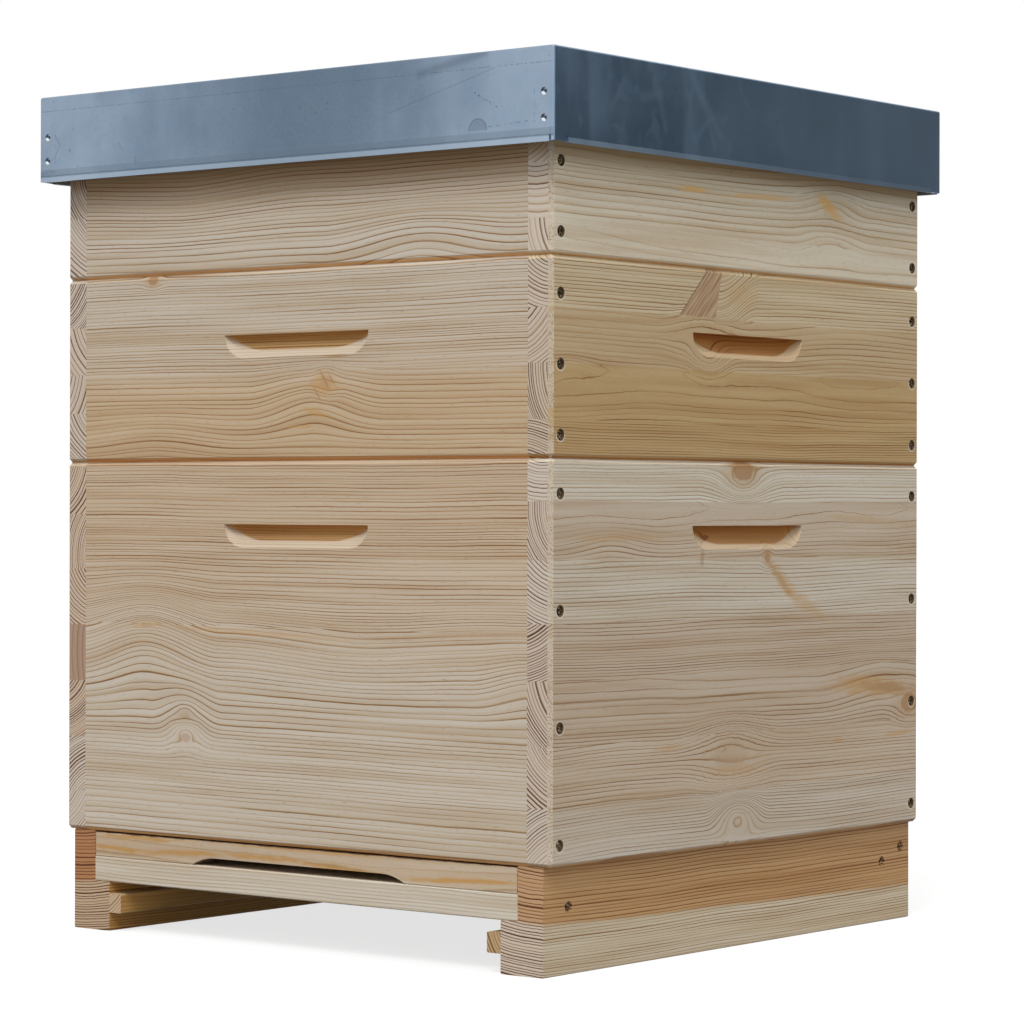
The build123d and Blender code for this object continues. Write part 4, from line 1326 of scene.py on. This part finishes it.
# %% [markdown]
# ## The woven floor
# Bees stand on a wire cloth that lets mites and dust fall through. In a plain weave each wire passes
# over one crossing wire and under the next. Two neighbouring wires over two crossings are the whole
# pattern, so only these are modelled, with four flat sides each, and two Array modifiers repeat them
# into the cloth. The crossing wires are the same piece turned a quarter and lowered at each crossing.

# %% Two wires of the cloth
PITCH = 4.4
WIRE = 0.45


def two_wires(name, lengthwise, rise):
    """Two neighbouring wires over two crossings, in edit mode and selected."""
    turn = (0.0, math.pi / 2, 0.0) if lengthwise == "x" else (math.pi / 2, 0.0, 0.0)
    bpy.ops.mesh.primitive_circle_add(vertices=4, radius=WIRE / 2 * MM, fill_type="NOTHING", rotation=turn)
    cloth = bpy.context.object
    cloth.name = name
    bpy.ops.object.transform_apply(location=True, rotation=True, scale=True)
    step = [PITCH if axis == lengthwise else 0.0 for axis in "xy"]
    begin(cloth)
    bpy.ops.mesh.select_all(action="SELECT")
    push(0.0, 0.0, rise)
    draw_out(*step, -2 * rise)
    draw_out(*step, 2 * rise)
    bpy.ops.mesh.select_all(action="SELECT")
    bpy.ops.mesh.duplicate()
    bpy.ops.transform.mirror(constraint_axis=(False, False, True), center_override=MIDDLE)
    push(step[1], step[0], 0.0)
    bpy.ops.mesh.select_all(action="SELECT")
    return cloth


print("Wires", WIRE, "mm thick,", PITCH, "mm apart")

# %% Weave the wire cloth
MERGE_WITHIN = 0.02
CLOTH_SMOOTH_BELOW = math.radians(50.0)
cloth_low, cloth_high = (Vector(corner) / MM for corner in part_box("floor_mesh"))
cloth_middle = (cloth_low + cloth_high) / 2


def weave(name, lengthwise, rise):
    """One direction of the cloth, as wide and long as the solid net that it replaces."""
    along, across = (0, 1) if lengthwise == "x" else (1, 0)
    size = cloth_high - cloth_low
    crossings, wires = int(size[along] / PITCH / 2), int(size[across] / PITCH / 2)
    cloth = two_wires(name, lengthwise, rise)
    start = [cloth_middle[place] for place in range(3)]
    start[along] -= crossings * PITCH
    start[across] -= (wires - 0.5) * PITCH
    push(*start)
    bpy.ops.object.mode_set(mode="OBJECT")
    for label, count, place in (("crossings", crossings, along), ("wires", wires, across)):
        repeat = cloth.modifiers.new(label, "ARRAY")
        repeat.use_relative_offset = False
        repeat.use_constant_offset = True
        repeat.constant_offset_displace = [2 * PITCH * MM if axis == place else 0.0 for axis in range(3)]
        repeat.count = count
        repeat.use_merge_vertices = True
        repeat.merge_threshold = MERGE_WITHIN * MM
        bpy.ops.object.modifier_apply(modifier=label)
    begin(cloth)
    bpy.ops.mesh.select_all(action="SELECT")
    bpy.ops.mesh.fill_holes(sides=4)
    bpy.ops.mesh.select_all(action="SELECT")
    bpy.ops.mesh.normals_make_consistent(inside=False)
    bpy.ops.object.mode_set(mode="OBJECT")
    bpy.ops.object.shade_smooth_by_angle(angle=CLOTH_SMOOTH_BELOW)
    cloth.data.materials.append(bright_steel)
    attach(cloth, "floor")
    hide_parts("floor_mesh")
    return 2 * wires, len(cloth.data.polygons)


print("Wires along the hive, and their faces:", weave("cloth_lengthwise", "y", WIRE / 2))
print("Wires across the hive, and their faces:", weave("cloth_crosswise", "x", -WIRE / 2))

# %% [markdown]
# ## Studio
# The hive stands on white paper in front of a white ground, which the camera and shiny metal see at
# full white. The paper keeps a soft shadow. Most of the light comes from above, so the edge of the roof
# and the hand holds stay dark underneath, and a window in front and a little to the right draws their
# shadows. A dark card beside the hive, seen only in the metal, gives the right skirt its deep tone.

# %% White paper floor
PAPER_SIZE = 16.0
PAPER_GREY = (0.27, 0.27, 0.27, 1.0)
PAPER_GLOW = 0.74
WHITE = (1.0, 1.0, 1.0, 1.0)


def seen_directly(tree):
    """1 for rays of the camera, or seen in a mirror or through glass, and 0 for light on the piece."""
    path = tree.nodes.new("ShaderNodeLightPath")
    rays = [Field(path.outputs[f"Is {kind} Ray"]) for kind in ("Camera", "Glossy", "Transmission")]
    return rays[0].calculate("MAXIMUM", rays[1]).calculate("MAXIMUM", rays[2])


bpy.ops.mesh.primitive_plane_add(size=PAPER_SIZE, location=MIDDLE)
paper = bpy.context.object
paper.name = "paper_floor"
paper_white = bpy.data.materials.new("paper_white")
paper_white.use_nodes = True
paper_shader = paper_white.node_tree.nodes["Principled BSDF"]
paper_shader.inputs["Base Color"].default_value = PAPER_GREY
paper_shader.inputs["Roughness"].default_value = 1.0
paper_shader.inputs["Specular IOR Level"].default_value = 0.0
paper_shader.inputs["Emission Color"].default_value = WHITE
feed(paper_shader.inputs["Emission Strength"], seen_directly(paper_white.node_tree) * PAPER_GLOW)
paper.data.materials.append(paper_white)
print("Paper floor laid,", PAPER_SIZE, "m wide")

# %% Sky
SKY_HORIZON = 0.315
SKY_ZENITH = 1.26
SKY_RIGHT = 0.10

studio = bpy.data.worlds.new("studio")
studio.use_nodes = True
bpy.context.scene.world = studio
sky = studio.node_tree.nodes["Background"]
direction = studio.node_tree.nodes.new("ShaderNodeTexCoord")
rightward, _, upward = parts_of(Field(direction.outputs["Generated"]))
level = upward.rise(-0.05, 1.0) * (SKY_ZENITH - SKY_HORIZON) + rightward * SKY_RIGHT + SKY_HORIZON
direct = seen_directly(studio.node_tree)
feed(sky.inputs["Strength"], direct + direct.flipped() * level)
sky.inputs["Color"].default_value = WHITE
print("Sky from", SKY_HORIZON, "at the horizon to", SKY_ZENITH, "above")

# %% Window and dark card
WINDOW_PLACE = (0.55, -1.6, 2.5)
WINDOW_STRENGTH = 1.62
WINDOW_ANGLE = math.radians(24.0)
CARD_PLACE = (1.05, 0.98, 0.75)
CARD_FACES = (0.27, 0.0, 0.75)
CARD_SIZE = 1.5
CARD_GREY = (0.14, 0.14, 0.14, 1.0)


def look_at(source, target):
    """The turn that makes a lamp or a card at one place face another."""
    return (Vector(target) - Vector(source)).to_track_quat("-Z", "Y").to_euler()


window_light = bpy.data.lights.new("window", "SUN")
window_light.energy = WINDOW_STRENGTH
window_light.angle = WINDOW_ANGLE
window = bpy.data.objects.new("window", window_light)
bpy.context.scene.collection.objects.link(window)
window.rotation_euler = look_at(WINDOW_PLACE, MIDDLE)

bpy.ops.mesh.primitive_plane_add(size=CARD_SIZE, location=CARD_PLACE)
card = bpy.context.object
card.name = "dark_card"
card.rotation_euler = look_at(CARD_PLACE, CARD_FACES)
card.visible_camera = False
card.visible_diffuse = False
card.visible_shadow = False
card_black = bpy.data.materials.new("card_black")
card_black.use_nodes = True
card_black.node_tree.nodes["Principled BSDF"].inputs["Base Color"].default_value = CARD_GREY
card.data.materials.append(card_black)
print("Window and card set")

# %% [markdown]
# The camera stands low, to the right of the hive, and looks level, so that upright edges stay upright.
# It is far off and has a long lens, so the far edges are hardly smaller than the near ones. Its place
# and turn were fitted to the corners, joints and screws that can be seen.

# %% Camera
CAMERA_PLACE = (1.79224, -2.22571, 0.34293)
CAMERA_TURN = (89.9646, -0.1342, 38.6209)
CAMERA_LENS = 120.67
CAMERA_SENSOR = 36.0

camera = bpy.data.cameras.new("camera")
camera.lens = CAMERA_LENS
camera.sensor_width = CAMERA_SENSOR
viewer = bpy.data.objects.new("camera", camera)
bpy.context.scene.collection.objects.link(viewer)
viewer.location = CAMERA_PLACE
viewer.rotation_euler = [math.radians(angle) for angle in CAMERA_TURN]
bpy.context.scene.camera = viewer
bpy.context.scene.view_settings.view_transform = "Standard"
print("Camera set at the photograph's angle")
